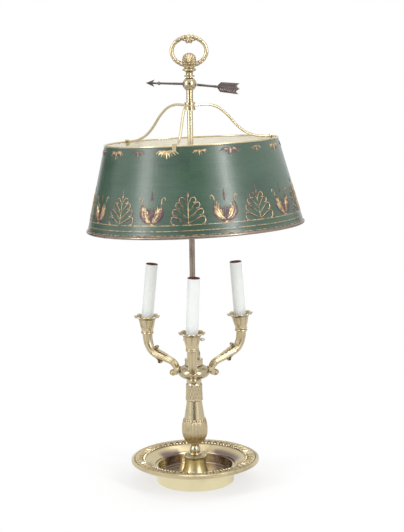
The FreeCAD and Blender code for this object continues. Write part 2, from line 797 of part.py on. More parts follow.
def finial_neck():
    z = finial_z
    top = handle_z - touch_gap
    n = finial_neck_radius
    f = finial_flange_radius
    grip = rod_radius + touch_gap
    return turned(
        (grip, z), (n + 1.2, z), ((n + 2.0, z + 1.3), (n + 1.2, z + 2.6)), (n - 0.6, z + 3.0),
        ((n - 1.0, z + 6.0), (n + 0.6, z + 8.6)), (f - 1.0, z + 10.0),
        ((f, z + 11.6), (f - 1.4, z + 13.2)), (handle_boss_radius + 1.0, top), (grip, top))


def ring_handle():
    # Four-centre oval: small arcs at the sides, large arcs above and below, tangent where they meet
    wide = handle_width / 2 - handle_tube_radius
    high = handle_height / 2 - handle_tube_radius
    side = handle_side_radius
    broad = ((wide - side) ** 2 + high ** 2 - side ** 2) / (2 * (high - side))
    turn = math.atan2(wide - side, broad - high)
    meet_x = broad * math.sin(turn)
    meet_z = broad * math.cos(turn) - (broad - high)
    centre_z = handle_z + handle_height / 2

    def bow(start, through, end):
        places = [across(x, centre_z + z) for x, z in (start, through, end)]
        return Part.Arc(*places).toShape()

    broad_x = broad * math.sin(turn / 2)
    broad_z = broad * math.cos(turn / 2) - broad + high
    path = Part.Wire([
        bow((0, high), (broad_x, broad_z), (meet_x, meet_z)),
        bow((meet_x, meet_z), (wide, 0), (meet_x, -meet_z)),
        bow((meet_x, -meet_z), (0, -high), (-meet_x, -meet_z)),
        bow((-meet_x, -meet_z), (-wide, 0), (-meet_x, meet_z)),
        bow((-meet_x, meet_z), (-broad_x, broad_z), (0, high)),
    ])
    section = Part.Wire(Part.makeCircle(handle_tube_radius, across(0, centre_z + high), across(1, 0)))
    ring = path.makePipeShell([section], True, False)
    w = handle_shell_width / 2
    low = handle_z + 2.0
    shell = plate(
        handle_shell_thickness, (-w * 0.5, low), (w * 0.5, low), (w, low + 0.55 * handle_shell_height),
        ((0, low + handle_shell_height), (-w, low + 0.55 * handle_shell_height)))
    c = handle_crown_width / 2
    crown_z = handle_z + handle_height - 5.5
    crown = plate(
        handle_shell_thickness, (-c, crown_z), ((0, crown_z - handle_crown_height), (c, crown_z)),
        ((0, crown_z + 6.9), (-c, crown_z)))
    boss = Part.makeCylinder(handle_boss_radius, handle_boss_height, FreeCAD.Vector(0, 0, handle_z))
    bore = Part.makeCylinder(rod_radius + touch_gap, rod_top_z - handle_z + 0.2,
                             FreeCAD.Vector(0, 0, handle_z))
    return ring.fuse([shell, crown, boss]).cut(bore).removeSplitter()


def key_axis():
    a = math.radians(key_slope)
    return FreeCAD.Vector(math.cos(a), 0, -math.sin(a))


def point_axis():
    a = math.radians(point_slope)
    return FreeCAD.Vector(-math.cos(a), 0, math.sin(a))


def ball_centre():
    return FreeCAD.Vector(0, 0, ball_z)


def along(axis, start, end, radius):
    return rod_between(ball_centre() + axis * start, ball_centre() + axis * end, radius)


def shoe_start():
    # The shoe's flat end leans with the screw, so its edge is kept clear of the rod
    tilt = math.radians(key_slope)
    return (rod_radius + seat_gap / 2) / math.cos(tilt) + screw_radius * math.tan(tilt)


def carrier_ball():
    ball = Part.makeSphere(ball_radius, ball_centre())
    ball = ball.cut(Part.makeCylinder(slide_bore, 4 * ball_radius,
                                      FreeCAD.Vector(0, 0, ball_z - 2 * ball_radius)))
    seat = Part.makeCylinder(carrier_tube_radius + touch_gap, 2 * ball_radius,
                             FreeCAD.Vector(0, 0, tube_top_z - 2 * ball_radius))
    screw_bore = along(key_axis(), 0, 2 * ball_radius, screw_radius + running_fit)
    point_bore = along(point_axis(), ball_radius - 4.0, 2 * ball_radius, screw_radius + touch_gap)
    return ball.cut([seat, screw_bore, point_bore]).removeSplitter()


def carrier_tube():
    low = collar_z - carrier_flange_height
    top = tube_top_z - touch_gap
    tube = Part.makeCylinder(carrier_tube_radius, top - low, FreeCAD.Vector(0, 0, low))
    flange = Part.makeCylinder(carrier_flange_radius, carrier_flange_height, FreeCAD.Vector(0, 0, low))
    return tube.fuse(flange).cut(Part.makeCylinder(slide_bore, top - low + 2, FreeCAD.Vector(0, 0, low - 1)))


def clamp_shoe():
    return along(key_axis(), shoe_start(), shoe_start() + shoe_length, screw_radius)


def along_key(x, z):
    # Plates of the arrow are drawn level through the ball's centre, then sloped with their half
    return (x, ball_z + z)


def arrow_key():
    start = shoe_start() + shoe_length
    screw = along(key_axis(), start, ball_radius + 1.0, screw_radius)
    shaft = along(key_axis(), ball_radius + 0.6, key_reach - 5.0, key_shaft_radius)
    tail = key_reach
    front = tail - fletch_length
    h = fletch_height / 2
    feather = plate(
        fletch_thickness, along_key(front, -key_shaft_radius), along_key(front + 7, -h * 0.78),
        along_key(tail - 11, -h * 0.92), along_key(tail - 1, -h), along_key(tail - 5.5, -h * 0.5),
        along_key(tail, 0), along_key(tail - 5.5, h * 0.5), along_key(tail - 1, h),
        along_key(tail - 11, h * 0.92), along_key(front + 7, h * 0.78), along_key(front, key_shaft_radius))
    feather.rotate(ball_centre(), FreeCAD.Vector(0, 1, 0), key_slope)
    return screw.fuse([shaft, feather]).removeSplitter()


def arrow_point():
    axis = point_axis()
    stub = along(axis, ball_radius - 4.0 + touch_gap, ball_radius + 1.5, screw_radius)
    neck = point_reach - point_head_length
    length = neck - ball_radius - 0.4
    shaft = Part.makeCone(point_shaft_radius, point_tip_radius, length + 2.0,
                          ball_centre() + axis * (ball_radius + 0.4), axis)
    bead = Part.makeSphere(point_bead_radius, ball_centre() + axis * point_bead_reach)
    h = point_head_height / 2
    head = plate(point_head_thickness, along_key(-point_reach, 0), along_key(-neck + 1.5, -h),
                 along_key(-neck - 2.5, 0), along_key(-neck + 1.5, h))
    root = plate(
        point_head_thickness, along_key(-point_reach + 3, -0.8),
        along_key(-neck + 1.0, -point_tip_radius), along_key(-neck + 1.0, point_tip_radius),
        along_key(-point_reach + 3, 0.8))
    head = head.fuse(root)
    head.rotate(ball_centre(), FreeCAD.Vector(0, 1, 0), point_slope)
    return stub.fuse([shaft, bead, head]).removeSplitter()


def spoke_points(azimuth):
    # From the collar out and down to the inner leg of its clip; the lean grows on the way
    inner = collar_waist_radius - spoke_socket_depth + 0.2
    clip_face = shade_point(0, -top_wire_radius - clip_gap - clip_thickness)[0]
    reach = clip_face - spoke_radius * math.tan(shade_slope) - spoke_end_gap
    flat = [(inner, collar_middle_z)]
    for out, height in spoke_line:
        flat.append((inner + out * (reach - inner), shade_top_z + height * shade_drop))
    flat.append((reach, shade_top_z))
    points = []
    for r, z in flat:
        level_point = Part.Vertex(at_azimuth(r, z, azimuth))
        start = level_point.Point
        end = lean_shade(level_point.copy()).Point
        share = (r - inner) / (reach - inner)
        points.append(start + (end - start) * share)
    return points


def spider_collar():
    z = collar_z + touch_gap
    h = collar_height - touch_gap
    f = carrier_flange_radius
    w = collar_waist_radius
    lip = collar_flange_height
    body = turned(
        (carrier_tube_radius + running_fit, z), (f, z), (f, z + lip), (w, z + lip), (w, z + h - lip),
        (f, z + h - lip), (f, z + h), (carrier_tube_radius + running_fit, z + h))
    for name, azimuth in spokes:
        points = spoke_points(azimuth)
        socket = rod_between(points[0], points[1], spoke_radius + touch_gap)
        body = body.cut(socket)
    return body


def spoke(azimuth):
    return pipe(spoke_points(azimuth), spoke_radius)


def shade_point(along_wall, off_wall):
    # A point by its distance down the wall from the top wire's centre and out from the wall's middle
    s = math.sin(shade_slope)
    c = math.cos(shade_slope)
    return (shade_top_radius + along_wall * s + off_wall * c, shade_top_z - along_wall * c + off_wall * s)


def shade_cone():
    half = shade_wall / 2
    length = shade_height / math.cos(shade_slope)
    high = top_wire_radius + touch_gap
    low = length - bottom_roll_radius - touch_gap
    body = turned(
        shade_point(high, -half), shade_point(high, half), shade_point(low, half),
        shade_point(low, -half))
    return lean_shade(body)


def shade_ring(radius, z, wire_radius):
    return lean_shade(Part.makeTorus(radius, wire_radius, FreeCAD.Vector(0, 0, z)))


def rim_clips():
    near = top_wire_radius + clip_gap
    far = near + clip_thickness
    clips = []
    for name, azimuth in spokes:
        clip = plate(
            clip_width, shade_point(clip_outside, near), shade_point(-near, near), shade_point(-near, -near),
            shade_point(clip_inside, -near), shade_point(clip_inside, -far), shade_point(-far, -far),
            shade_point(-far, far), shade_point(clip_outside, far))
        clips.append(lean_shade(turn_to(clip, azimuth)))
    return Part.makeCompound(clips)


os.makedirs("parts", exist_ok=True)
count = 0


def save(name, shape):
    global count
    assert shape.isValid(), name
    assert all(solid.isValid() for solid in shape.Solids), name
    shape.exportStep("parts/" + name + ".step")
    count += 1


save("dish_base", dish_base())
save("foot_ring", foot_ring())
save("cord_bushing", cord_bushing())
save("base_weight", base_weight())
save("bottom_cover", bottom_cover())
save("cover_screws", cover_screws())
save("felt_pad", felt_pad())
save("base_nut", base_nut())
save("base_washer", base_washer())
save("tie_tube", tie_tube())
save("socle", socle())
save("socle_collar", socle_collar())
save("neck_knop", neck_knop())
save("leaf_vase", leaf_vase())
save("column_shaft", column_shaft())
save("leaf_sleeve", leaf_sleeve())
save("hub_neck", hub_neck())
save("arm_hub", arm_hub())
save("column_cap", column_cap())
save("switch_housing", switch_housing())
save("switch_body", switch_body())
save("switch_key", switch_key())
save("arm_nipples", arm_nipples())
save("arm_leads", arm_leads())
nipples = []
nuts = []
for name, azimuth, lift, stretch, cup_lean, candle_lean in arms:
    save("arm_" + name, arm(azimuth, lift, stretch, cup_lean))
    save("candle_cup_" + name, candle_cup(azimuth, lift, stretch, cup_lean))
    nipple, nut, sleeve, socket, shell, strap = candle_hardware(azimuth, lift, stretch, cup_lean, candle_lean)
    save("candle_sleeve_" + name, sleeve)
    save("socket_body_" + name, socket)
    save("socket_shell_" + name, shell)
    save("socket_strap_" + name, strap)
    nipples.append(nipple)
    nuts.append(nut)
save("candle_nipples", Part.makeCompound(nipples))
save("cup_nuts", Part.makeCompound(nuts))
save("shade_rod", shade_rod())
save("finial_neck", finial_neck())
save("ring_handle", ring_handle())
save("carrier_ball", carrier_ball())
save("carrier_tube", carrier_tube())
save("clamp_shoe", clamp_shoe())
save("arrow_key", arrow_key())
save("arrow_point", arrow_point())
save("spider_collar", spider_collar())
for name, azimuth in spokes:
    save("spoke_" + name, spoke(azimuth))
save("rim_clips", rim_clips())
save("shade_cone", shade_cone())
save("shade_top_wire", shade_ring(shade_top_radius, shade_top_z, top_wire_radius))
save("shade_bottom_roll", shade_ring(shade_bottom_radius, shade_bottom_z, bottom_roll_radius))
print("pieces saved:", count)
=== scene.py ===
import json
import math

import bpy
import numpy as np
from mathutils import Matrix, Vector

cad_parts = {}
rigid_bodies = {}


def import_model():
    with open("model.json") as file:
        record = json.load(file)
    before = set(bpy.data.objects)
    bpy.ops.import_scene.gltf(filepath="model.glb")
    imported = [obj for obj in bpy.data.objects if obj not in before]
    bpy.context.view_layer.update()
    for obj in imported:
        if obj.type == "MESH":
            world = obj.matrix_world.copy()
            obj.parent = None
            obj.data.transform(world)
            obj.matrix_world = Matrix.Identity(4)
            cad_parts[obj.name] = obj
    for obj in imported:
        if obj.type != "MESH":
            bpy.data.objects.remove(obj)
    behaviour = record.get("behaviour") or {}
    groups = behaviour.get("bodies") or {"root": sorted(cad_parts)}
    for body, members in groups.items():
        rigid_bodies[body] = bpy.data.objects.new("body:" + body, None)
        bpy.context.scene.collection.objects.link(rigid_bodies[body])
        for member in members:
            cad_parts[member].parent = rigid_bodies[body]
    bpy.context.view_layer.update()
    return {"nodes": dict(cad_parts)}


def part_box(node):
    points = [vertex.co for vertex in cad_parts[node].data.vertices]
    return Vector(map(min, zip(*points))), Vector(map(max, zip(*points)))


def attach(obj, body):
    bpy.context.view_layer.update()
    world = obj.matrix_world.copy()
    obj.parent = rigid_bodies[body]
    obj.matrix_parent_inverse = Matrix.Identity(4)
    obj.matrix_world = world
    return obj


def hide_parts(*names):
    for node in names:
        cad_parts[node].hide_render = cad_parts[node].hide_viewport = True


for leftover in list(bpy.data.objects):
    bpy.data.objects.remove(leftover)
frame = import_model()

# Sizes are millimetres while a shape is worked out; meshes are written in metres
millimetre = 0.001


# Arrays: a shape is a dictionary of points, four-sided faces, triangles, and two values per point for its
# material: painted shade with patina for sunk places, and tone for patina or the shade of a brush stroke

def gridShape(points, wrapU=False, wrapV=False, capU=False, hollow=None, tone=None):
    # points[u, v] is the surface; neighbouring points make a face, and ends in u close with a fan
    nu, nv = points.shape[:2]
    index = np.arange(nu * nv).reshape(nu, nv)
    nextU = np.roll(index, -1, axis=0)
    nextV = np.roll(index, -1, axis=1)
    both = np.roll(nextU, -1, axis=1)
    rows = slice(None) if wrapU else slice(0, nu - 1)
    cols = slice(None) if wrapV else slice(0, nv - 1)
    quads = np.stack([index[rows, cols], nextU[rows, cols], both[rows, cols], nextV[rows, cols]], axis=-1)
    flat = points.reshape(-1, 3)
    hollow = np.zeros(nu * nv) if hollow is None else np.broadcast_to(hollow, (nu, nv)).reshape(-1)
    tone = np.zeros(nu * nv) if tone is None else np.broadcast_to(tone, (nu, nv)).reshape(-1)
    tris = np.zeros((0, 3), int)
    if capU:
        ends = np.stack([points[0].mean(axis=0), points[-1].mean(axis=0)])
        first = np.stack([index[0], np.full(nv, nu * nv), np.roll(index[0], -1)], axis=-1)
        last = np.stack([index[-1], np.roll(index[-1], -1), np.full(nv, nu * nv + 1)], axis=-1)
        tris = np.concatenate([first, last])
        flat = np.concatenate([flat, ends])
        hollow = np.append(hollow, [hollow[0], hollow[-1]])
        tone = np.append(tone, [tone[0], tone[-1]])
    return facingOut({"v": flat, "q": quads.reshape(-1, 4), "t": tris, "hollow": hollow, "tone": tone})


def facingOut(shape):
    # Signed volume is the sum of corner triple products; a negative one means that the faces look inwards
    v, q, t = shape["v"], shape["q"], shape["t"]
    tri = np.concatenate([q[:, [0, 1, 2]], q[:, [0, 2, 3]], t])
    volume = np.einsum("ij,ij->i", v[tri[:, 0]], np.cross(v[tri[:, 1]], v[tri[:, 2]])).sum()
    if volume < 0:
        shape["q"] = q[:, ::-1]
        shape["t"] = t[:, ::-1]
    return shape


def joined(shapes):
    starts = np.cumsum([0] + [len(s["v"]) for s in shapes])
    out = {key: np.concatenate([s[key] for s in shapes]) for key in ("v", "hollow", "tone")}
    for key in ("q", "t"):
        out[key] = np.concatenate([s[key] + start for s, start in zip(shapes, starts)])
    return out


def moved(shape, move):
    out = dict(shape)
    out["v"] = move(shape["v"])
    return out


def addObject(name, data):
    thing = bpy.data.objects.new(name, data)
    bpy.context.scene.collection.objects.link(thing)
    return thing


def addPiece(name, shape, material, body, replaced=(), sharpAngle=38.0):
    mesh = bpy.data.meshes.new(name)
    faces = shape["q"].tolist() + shape["t"].tolist()
    mesh.from_pydata((shape["v"] * millimetre).tolist(), [], faces)
    for key in ("hollow", "tone"):
        layer = mesh.attributes.new(key, "FLOAT", "POINT")
        layer.data.foreach_set("value", shape[key].astype(np.float32))
    mesh.polygons.foreach_set("use_smooth", [True] * len(faces))
    mesh.set_sharp_from_angle(angle=math.radians(sharpAngle))
    mesh.materials.append(material)
    mesh.update()
    piece = addObject(name, mesh)
    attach(piece, body)
    if replaced:
        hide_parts(*replaced)
    return piece


# Lines

def ringAngles(count):
    return np.linspace(0, 2 * math.pi, count, endpoint=False)


def through(points, count):
    # A smooth line through its points: Catmull-Rom, with mirrored ends, at evenly spaced parameters
    p = np.asarray(points, float)
    p = np.concatenate([[2 * p[0] - p[1]], p, [2 * p[-1] - p[-2]]])
    t = np.linspace(0, len(p) - 3 - 1e-9, count)
    i = t.astype(int)
    f = (t - i)[:, None]
    a, b, c, d = p[i], p[i + 1], p[i + 2], p[i + 3]
    return 0.5 * (2 * b + (c - a) * f + (2 * a - 5 * b + 4 * c - d) * f ** 2
                  + (3 * b - a - 3 * c + d) * f ** 3)


def arcThrough(a, b, c, spacing):
    # The circle through three points: its centre solves equal distances, its sweep passes the middle point
    a, b, c = (np.asarray(p, float) for p in (a, b, c))
    system = 2 * np.stack([b - a, c - a])
    centre = np.linalg.solve(system, np.array([b @ b - a @ a, c @ c - a @ a]))
    angles = [math.atan2(*(p - centre)[::-1]) for p in (a, b, c)]
    sweep = (angles[2] - angles[0]) % (2 * math.pi)
    if (angles[1] - angles[0]) % (2 * math.pi) > sweep:
        sweep -= 2 * math.pi
    radius = np.linalg.norm(a - centre)
    count = max(3, int(abs(sweep) * radius / spacing) + 1)
    s = angles[0] + np.linspace(0, sweep, count)
    return centre + radius * np.stack([np.cos(s), np.sin(s)], axis=-1)


def outline(steps, spacing=0.8):
    # A step is a point, or a pair (through, end) for an arc; the line closes on its first point
    line = [np.asarray(steps[0], float)]
    for step in list(steps[1:]) + [steps[0]]:
        if isinstance(step[0], tuple):
            line.extend(arcThrough(line[-1], step[0], step[1], spacing)[1:])
        else:
            start = line[-1]
            run = np.asarray(step, float) - start
            count = max(1, int(np.linalg.norm(run) / spacing))
            line.extend(start + run * (k + 1) / count for k in range(count))
    return np.array(line[:-1])


def lineNormals(line):
    # Right-hand normals of a closed line, from each point's neighbours
    along = np.roll(line, -1, axis=0) - np.roll(line, 1, axis=0)
    along /= np.linalg.norm(along, axis=1)[:, None] + 1e-12
    return np.stack([along[:, 1], -along[:, 0]], axis=-1)


def turned(line, around, relief=None, hollow=None):
    # A closed outline (radius, height) carried round the axis, pushed along its normal by the relief
    theta = ringAngles(around)
    area = np.sum(line[:, 0] * np.roll(line[:, 1], -1) - np.roll(line[:, 0], -1) * line[:, 1])
    normals = lineNormals(line) * (1 if area > 0 else -1)
    push = 0 if relief is None else relief[:, :, None]
    rz = line[None] + push * normals[None]
    points = np.stack([rz[..., 0] * np.sin(theta)[:, None], -rz[..., 0] * np.cos(theta)[:, None],
                       rz[..., 1] + 0 * theta[:, None]], axis=-1)
    return gridShape(points, wrapU=True, wrapV=True, hollow=hollow)


def sweep(centre, normal, binormal, radii, around, wrap=False, hollow=None):
    # radii[u, v] carried round the line: centre + radius * (cos * normal + sin * binormal)
    phi = ringAngles(around)[None, :, None]
    across = np.cos(phi) * normal[:, None] + np.sin(phi) * binormal[:, None]
    points = centre[:, None] + radii[..., None] * across
    return gridShape(points, wrapU=wrap, wrapV=True, capU=not wrap, hollow=hollow)


def tangents(line, wrap=False):
    if wrap:
        along = np.roll(line, -1, axis=0) - np.roll(line, 1, axis=0)
    else:
        along = np.gradient(line, axis=0)
    return along / np.linalg.norm(along, axis=1)[:, None]


def planeNormals(line):
    # For a line in the XZ plane: its direction turned a quarter in the plane
    along = tangents(line)
    return np.stack([-along[:, 2], 0 * along[:, 1], along[:, 0]], axis=-1)


def band(line, lift, across, hollow):
    # A section along a line in the XZ plane, with its height in the plane and its width along Y
    points = (line[:, None] + lift[..., None] * planeNormals(line)[:, None]
              + across[..., None] * np.array([0, 1.0, 0]))
    return gridShape(points, wrapV=True, capU=True, hollow=hollow)


def beads(places, radius):
    # Small spheres: latitude rings of eight points
    lat = np.linspace(-0.48, 0.48, 5) * math.pi
    lon = ringAngles(8)
    ball = np.stack([np.cos(lat)[:, None] * np.cos(lon)[None], np.cos(lat)[:, None] * np.sin(lon)[None],
                     np.sin(lat)[:, None] + 0 * lon[None]], axis=-1) * radius
    one = gridShape(ball, wrapV=True, capU=True)
    return joined([moved(one, lambda v, p=p: v + np.asarray(p)) for p in places])


def bump(x, low, high):
    # A smooth step from 0 at low to 1 at high
    t = np.clip((x - low) / (high - low), 0, 1)
    return t * t * (3 - 2 * t)


def rotation(axis, degrees):
    return np.array(Matrix.Rotation(math.radians(degrees), 3, Vector(axis)))


def about(points, pivot, turn):
    return (points - pivot) @ turn.T + pivot


def turnTo(azimuth):
    # Pieces drawn along +X are turned to their azimuth, from the front to the right
    turn = rotation((0, 0, 1), azimuth - 90)
    return lambda v: v @ turn.T


# Shader node groups, used by several materials

def newGroup(name, inputs, outputs):
    group = bpy.data.node_groups.new(name, "ShaderNodeTree")
    for label, kind, value in inputs:
        socket = group.interface.new_socket(name=label, in_out="INPUT", socket_type=kind)
        if value is not None:
            socket.default_value = value
    for label, kind in outputs:
        group.interface.new_socket(name=label, in_out="OUTPUT", socket_type=kind)
    return group, group.nodes.new("NodeGroupInput"), group.nodes.new("NodeGroupOutput")


def addNode(tree, kind, settings=None, **links):
    # Inputs are given by name or number; a socket is linked, anything else is a value
    node = tree.nodes.new(kind)
    for key, value in (settings or {}).items():
        setattr(node, key, value)
    for key, value in links.items():
        label = key.replace("_", " ")
        socket = node.inputs[int(key[1:])] if key[0] == "n" and key[1:].isdigit() else node.inputs[label]
        if isinstance(value, bpy.types.NodeSocket):
            tree.links.new(value, socket)
        else:
            socket.default_value = value
    return node


def ramp(tree, factor, stops):
    node = tree.nodes.new("ShaderNodeValToRGB")
    while len(node.color_ramp.elements) < len(stops):
        node.color_ramp.elements.new(0.5)
    for element, (place, colour) in zip(node.color_ramp.elements, stops):
        element.position = place
        element.color = (*colour, 1)
    tree.links.new(factor, node.inputs[0])
    return node.outputs[0]


def mathNode(tree, operation, a, b, c=0.0):
    return addNode(tree, "ShaderNodeMath", {"operation": operation}, n0=a, n1=b, n2=c).outputs[0]


def blotchGroup():
    # Tarnish in soft islands at two sizes, and a fine speckle, from Object coordinates
    group, start, end = newGroup(
        "tarnish", [("Size", "NodeSocketFloat", 40.0), ("Spread", "NodeSocketFloat", 0.5)],
        [("Islands", "NodeSocketFloat"), ("Speckle", "NodeSocketFloat")])
    place = addNode(group, "ShaderNodeTexCoord").outputs["Object"]
    broad = addNode(group, "ShaderNodeTexNoise", Vector=place, Scale=start.outputs["Size"], Detail=5.0,
                    Roughness=0.62)
    low = mathNode(group, "SUBTRACT", start.outputs["Spread"], 0.16)
    high = mathNode(group, "ADD", start.outputs["Spread"], 0.16)
    islands = addNode(group, "ShaderNodeMapRange", {"interpolation_type": "SMOOTHSTEP"},
                      Value=broad.outputs[0], From_Min=low, From_Max=high)
    fine = addNode(group, "ShaderNodeTexNoise", Vector=place, Scale=1400.0, Detail=3.0, Roughness=0.7)
    group.links.new(islands.outputs[0], end.inputs["Islands"])
    group.links.new(fine.outputs[0], end.inputs["Speckle"])
    return group


def latheGroup():
    # Fine rings left by turning or brushing: noise squeezed along Z
    group, start, end = newGroup(
        "latheLines", [("Fineness", "NodeSocketFloat", 2500.0)], [("Lines", "NodeSocketFloat")])
    place = addNode(group, "ShaderNodeTexCoord").outputs["Object"]
    squeeze = addNode(group, "ShaderNodeCombineXYZ", X=30.0, Y=30.0, Z=start.outputs["Fineness"])
    scaled = addNode(group, "ShaderNodeVectorMath", {"operation": "MULTIPLY"}, n0=place,
                     n1=squeeze.outputs[0])
    lines = addNode(group, "ShaderNodeTexNoise", Vector=scaled.outputs[0], Scale=1.0, Detail=2.0)
    group.links.new(lines.outputs[0], end.inputs["Lines"])
    return group


tarnish = blotchGroup()
latheLines = latheGroup()


def groupNode(tree, group, **values):
    node = tree.nodes.new("ShaderNodeGroup")
    node.node_tree = group
    for key, value in values.items():
        node.inputs[key].default_value = value
    return node


def newMaterial(name):
    material = bpy.data.materials.new(name)
    material.use_nodes = True
    tree = material.node_tree
    return material, tree, tree.nodes["Principled BSDF"]


def attributeNode(tree, name):
    return addNode(tree, "ShaderNodeAttribute", {"attribute_name": name}).outputs["Fac"]


def mixColour(tree, factor, a, b):
    node = tree.nodes.new("ShaderNodeMix")
    node.data_type = "RGBA"
    for socket, value in ((node.inputs[0], factor), (node.inputs[6], a), (node.inputs[7], b)):
        if isinstance(value, bpy.types.NodeSocket):
            tree.links.new(value, socket)
        else:
            socket.default_value = (*value, 1) if isinstance(value, tuple) else value
    return node.outputs[2]


def varied(tree, factor, middle, spread):
    # A value that runs over the spread about its middle as the factor runs from 0 to 1
    return mathNode(tree, "MULTIPLY_ADD", factor, spread, middle - spread / 2)


def dress(tree, shader, colour, roughness, height, strength, distance):
    tree.links.new(colour, shader.inputs["Base Color"])
    tree.links.new(roughness, shader.inputs["Roughness"])
    relief = addNode(tree, "ShaderNodeBump", Strength=strength, Distance=distance, Height=height)
    tree.links.new(relief.outputs[0], shader.inputs["Normal"])


brassLooks = {
    # name: bright colour, brown of tarnish and of the painted shade in recesses, tarnish size and spread,
    # roughness, lathe lines
    "castGilt": {"bright": (0.66, 0.555, 0.355), "brown": (0.150, 0.105, 0.075), "size": 55.0, "spread": 0.66,
                 "rough": 0.33, "lines": 0.0, "grain": 0.22},
    "turnedGilt": {"bright": (0.60, 0.51, 0.325), "brown": (0.15, 0.11, 0.08), "size": 38.0, "spread": 0.66,
                   "rough": 0.23, "lines": 0.10, "grain": 0.03},
    "dishGilt": {"bright": (0.64, 0.54, 0.325), "brown": (0.105, 0.072, 0.062), "size": 16.0, "spread": 0.64,
                 "rough": 0.25, "lines": 0.08, "grain": 0.06},
    # A paler copy of the gilt for the foot and socle: painted light, standing in for their bright reflections
    "footGilt": {"bright": (0.84, 0.75, 0.47), "brown": (0.30, 0.22, 0.12), "size": 20.0, "spread": 0.70,
                 "rough": 0.30, "lines": 0.06, "grain": 0.04},
    "collarGilt": {"bright": (0.56, 0.47, 0.30), "brown": (0.060, 0.042, 0.032), "size": 90.0, "spread": 0.60,
                   "rough": 0.34, "lines": 0.0, "grain": 0.3},
    # A darker copy of the gilt: painted shade on the arm hub, and the carrier ball's own darker tone
    "agedGilt": {"bright": (0.50, 0.425, 0.285), "brown": (0.12, 0.085, 0.07), "size": 45.0, "spread": 0.60,
                 "rough": 0.24, "lines": 0.08, "grain": 0.04},
    # The rod's pale upper colour is painted light above the shade; its brown below is painted shade
    "bronze": {"bright": (0.33, 0.275, 0.225), "brown": (0.13, 0.09, 0.07), "size": 45.0, "spread": 0.56,
               "rough": 0.25, "lines": 0.1, "grain": 0.05, "upper": (0.72, 0.64, 0.44), "upperFrom": 0.56,
               "upperTo": 0.60},
    "arrowBronze": {"bright": (0.235, 0.195, 0.185), "brown": (0.06, 0.045, 0.05), "size": 70.0,
                    "spread": 0.54, "rough": 0.34, "lines": 0.0, "grain": 0.12},
    "brightGilt": {"bright": (0.68, 0.58, 0.37), "brown": (0.20, 0.14, 0.09), "size": 60.0, "spread": 0.68,
                   "rough": 0.22, "lines": 0.0, "grain": 0.05},
}
patinaLook = {"colour": (0.165, 0.118, 0.110), "cover": 1.9}


def brass(name, look):
    material, tree, shader = newMaterial(name)
    stain = groupNode(tree, tarnish, Size=look["size"], Spread=look["spread"])
    lines = groupNode(tree, latheLines)
    hollow = attributeNode(tree, "hollow")
    warm = mixColour(tree, stain.outputs["Speckle"], tuple(c * 0.82 for c in look["bright"]), look["bright"])
    islands = mathNode(tree, "MULTIPLY", stain.outputs["Islands"], 0.55)
    stained = mixColour(tree, islands, warm, look["brown"])
    if "upper" in look:
        # The rod is pale above the shade's top and brown below it: painted light above, painted shade under
        # the shade
        place = addNode(tree, "ShaderNodeTexCoord").outputs["Object"]
        height = addNode(tree, "ShaderNodeSeparateXYZ", Vector=place).outputs["Z"]
        paleShare = addNode(tree, "ShaderNodeMapRange", {"interpolation_type": "SMOOTHSTEP"}, Value=height,
                         From_Min=look["upperFrom"], From_Max=look["upperTo"])
        stained = mixColour(tree, paleShare.outputs[0], stained, look["upper"])
    # Sunk places are darkened towards the brown: painted shade in the hollows, with the patina held there
    depth = mathNode(tree, "MULTIPLY", hollow, 0.88)
    patina = mathNode(tree, "MULTIPLY", attributeNode(tree, "tone"), stain.outputs["Speckle"])
    patina = mathNode(tree, "MULTIPLY", patina, patinaLook["cover"])
    patina.node.use_clamp = True
    sunk = mixColour(tree, depth, stained, look["brown"])
    shader.inputs["Metallic"].default_value = 1.0
    rough = varied(tree, stain.outputs["Speckle"], look["rough"], 0.22)
    rough = mathNode(tree, "MULTIPLY_ADD", stain.outputs["Islands"], 0.18, rough)
    grain = mathNode(tree, "MULTIPLY", stain.outputs["Speckle"], look["grain"])
    ringed = mathNode(tree, "MULTIPLY_ADD", lines.outputs["Lines"], look["lines"], grain)
    dress(tree, shader, mixColour(tree, patina, sunk, patinaLook["colour"]), rough, ringed, 0.35, 0.0004)
    return material


brasses = {name: brass(name, look) for name, look in brassLooks.items()}


shadeLook = {
    "green": (0.039, 0.090, 0.048), "deepGreen": (0.019, 0.051, 0.031), "blueGreen": (0.058, 0.110, 0.088),
    "worn": (0.115, 0.150, 0.098), "rough": 0.33, "varnish": 0.45, "varnishRough": 0.26,
    "cream": (0.80, 0.77, 0.66), "creamStain": (0.70, 0.66, 0.54), "creamRough": 0.52,
}
borderLook = {
    # tones: place on the ramp and colour, from gold to the dark of its shading
    "tones": [(0.0, (0.74, 0.61, 0.33)), (0.34, (0.46, 0.33, 0.18)), (0.60, (0.155, 0.085, 0.080)),
              (1.0, (0.062, 0.030, 0.040))],
    "rough": 0.405, "metal": 0.75,
}


def mapped(tree, uv, scale):
    return addNode(tree, "ShaderNodeMapping", Vector=uv, Scale=scale).outputs[0]


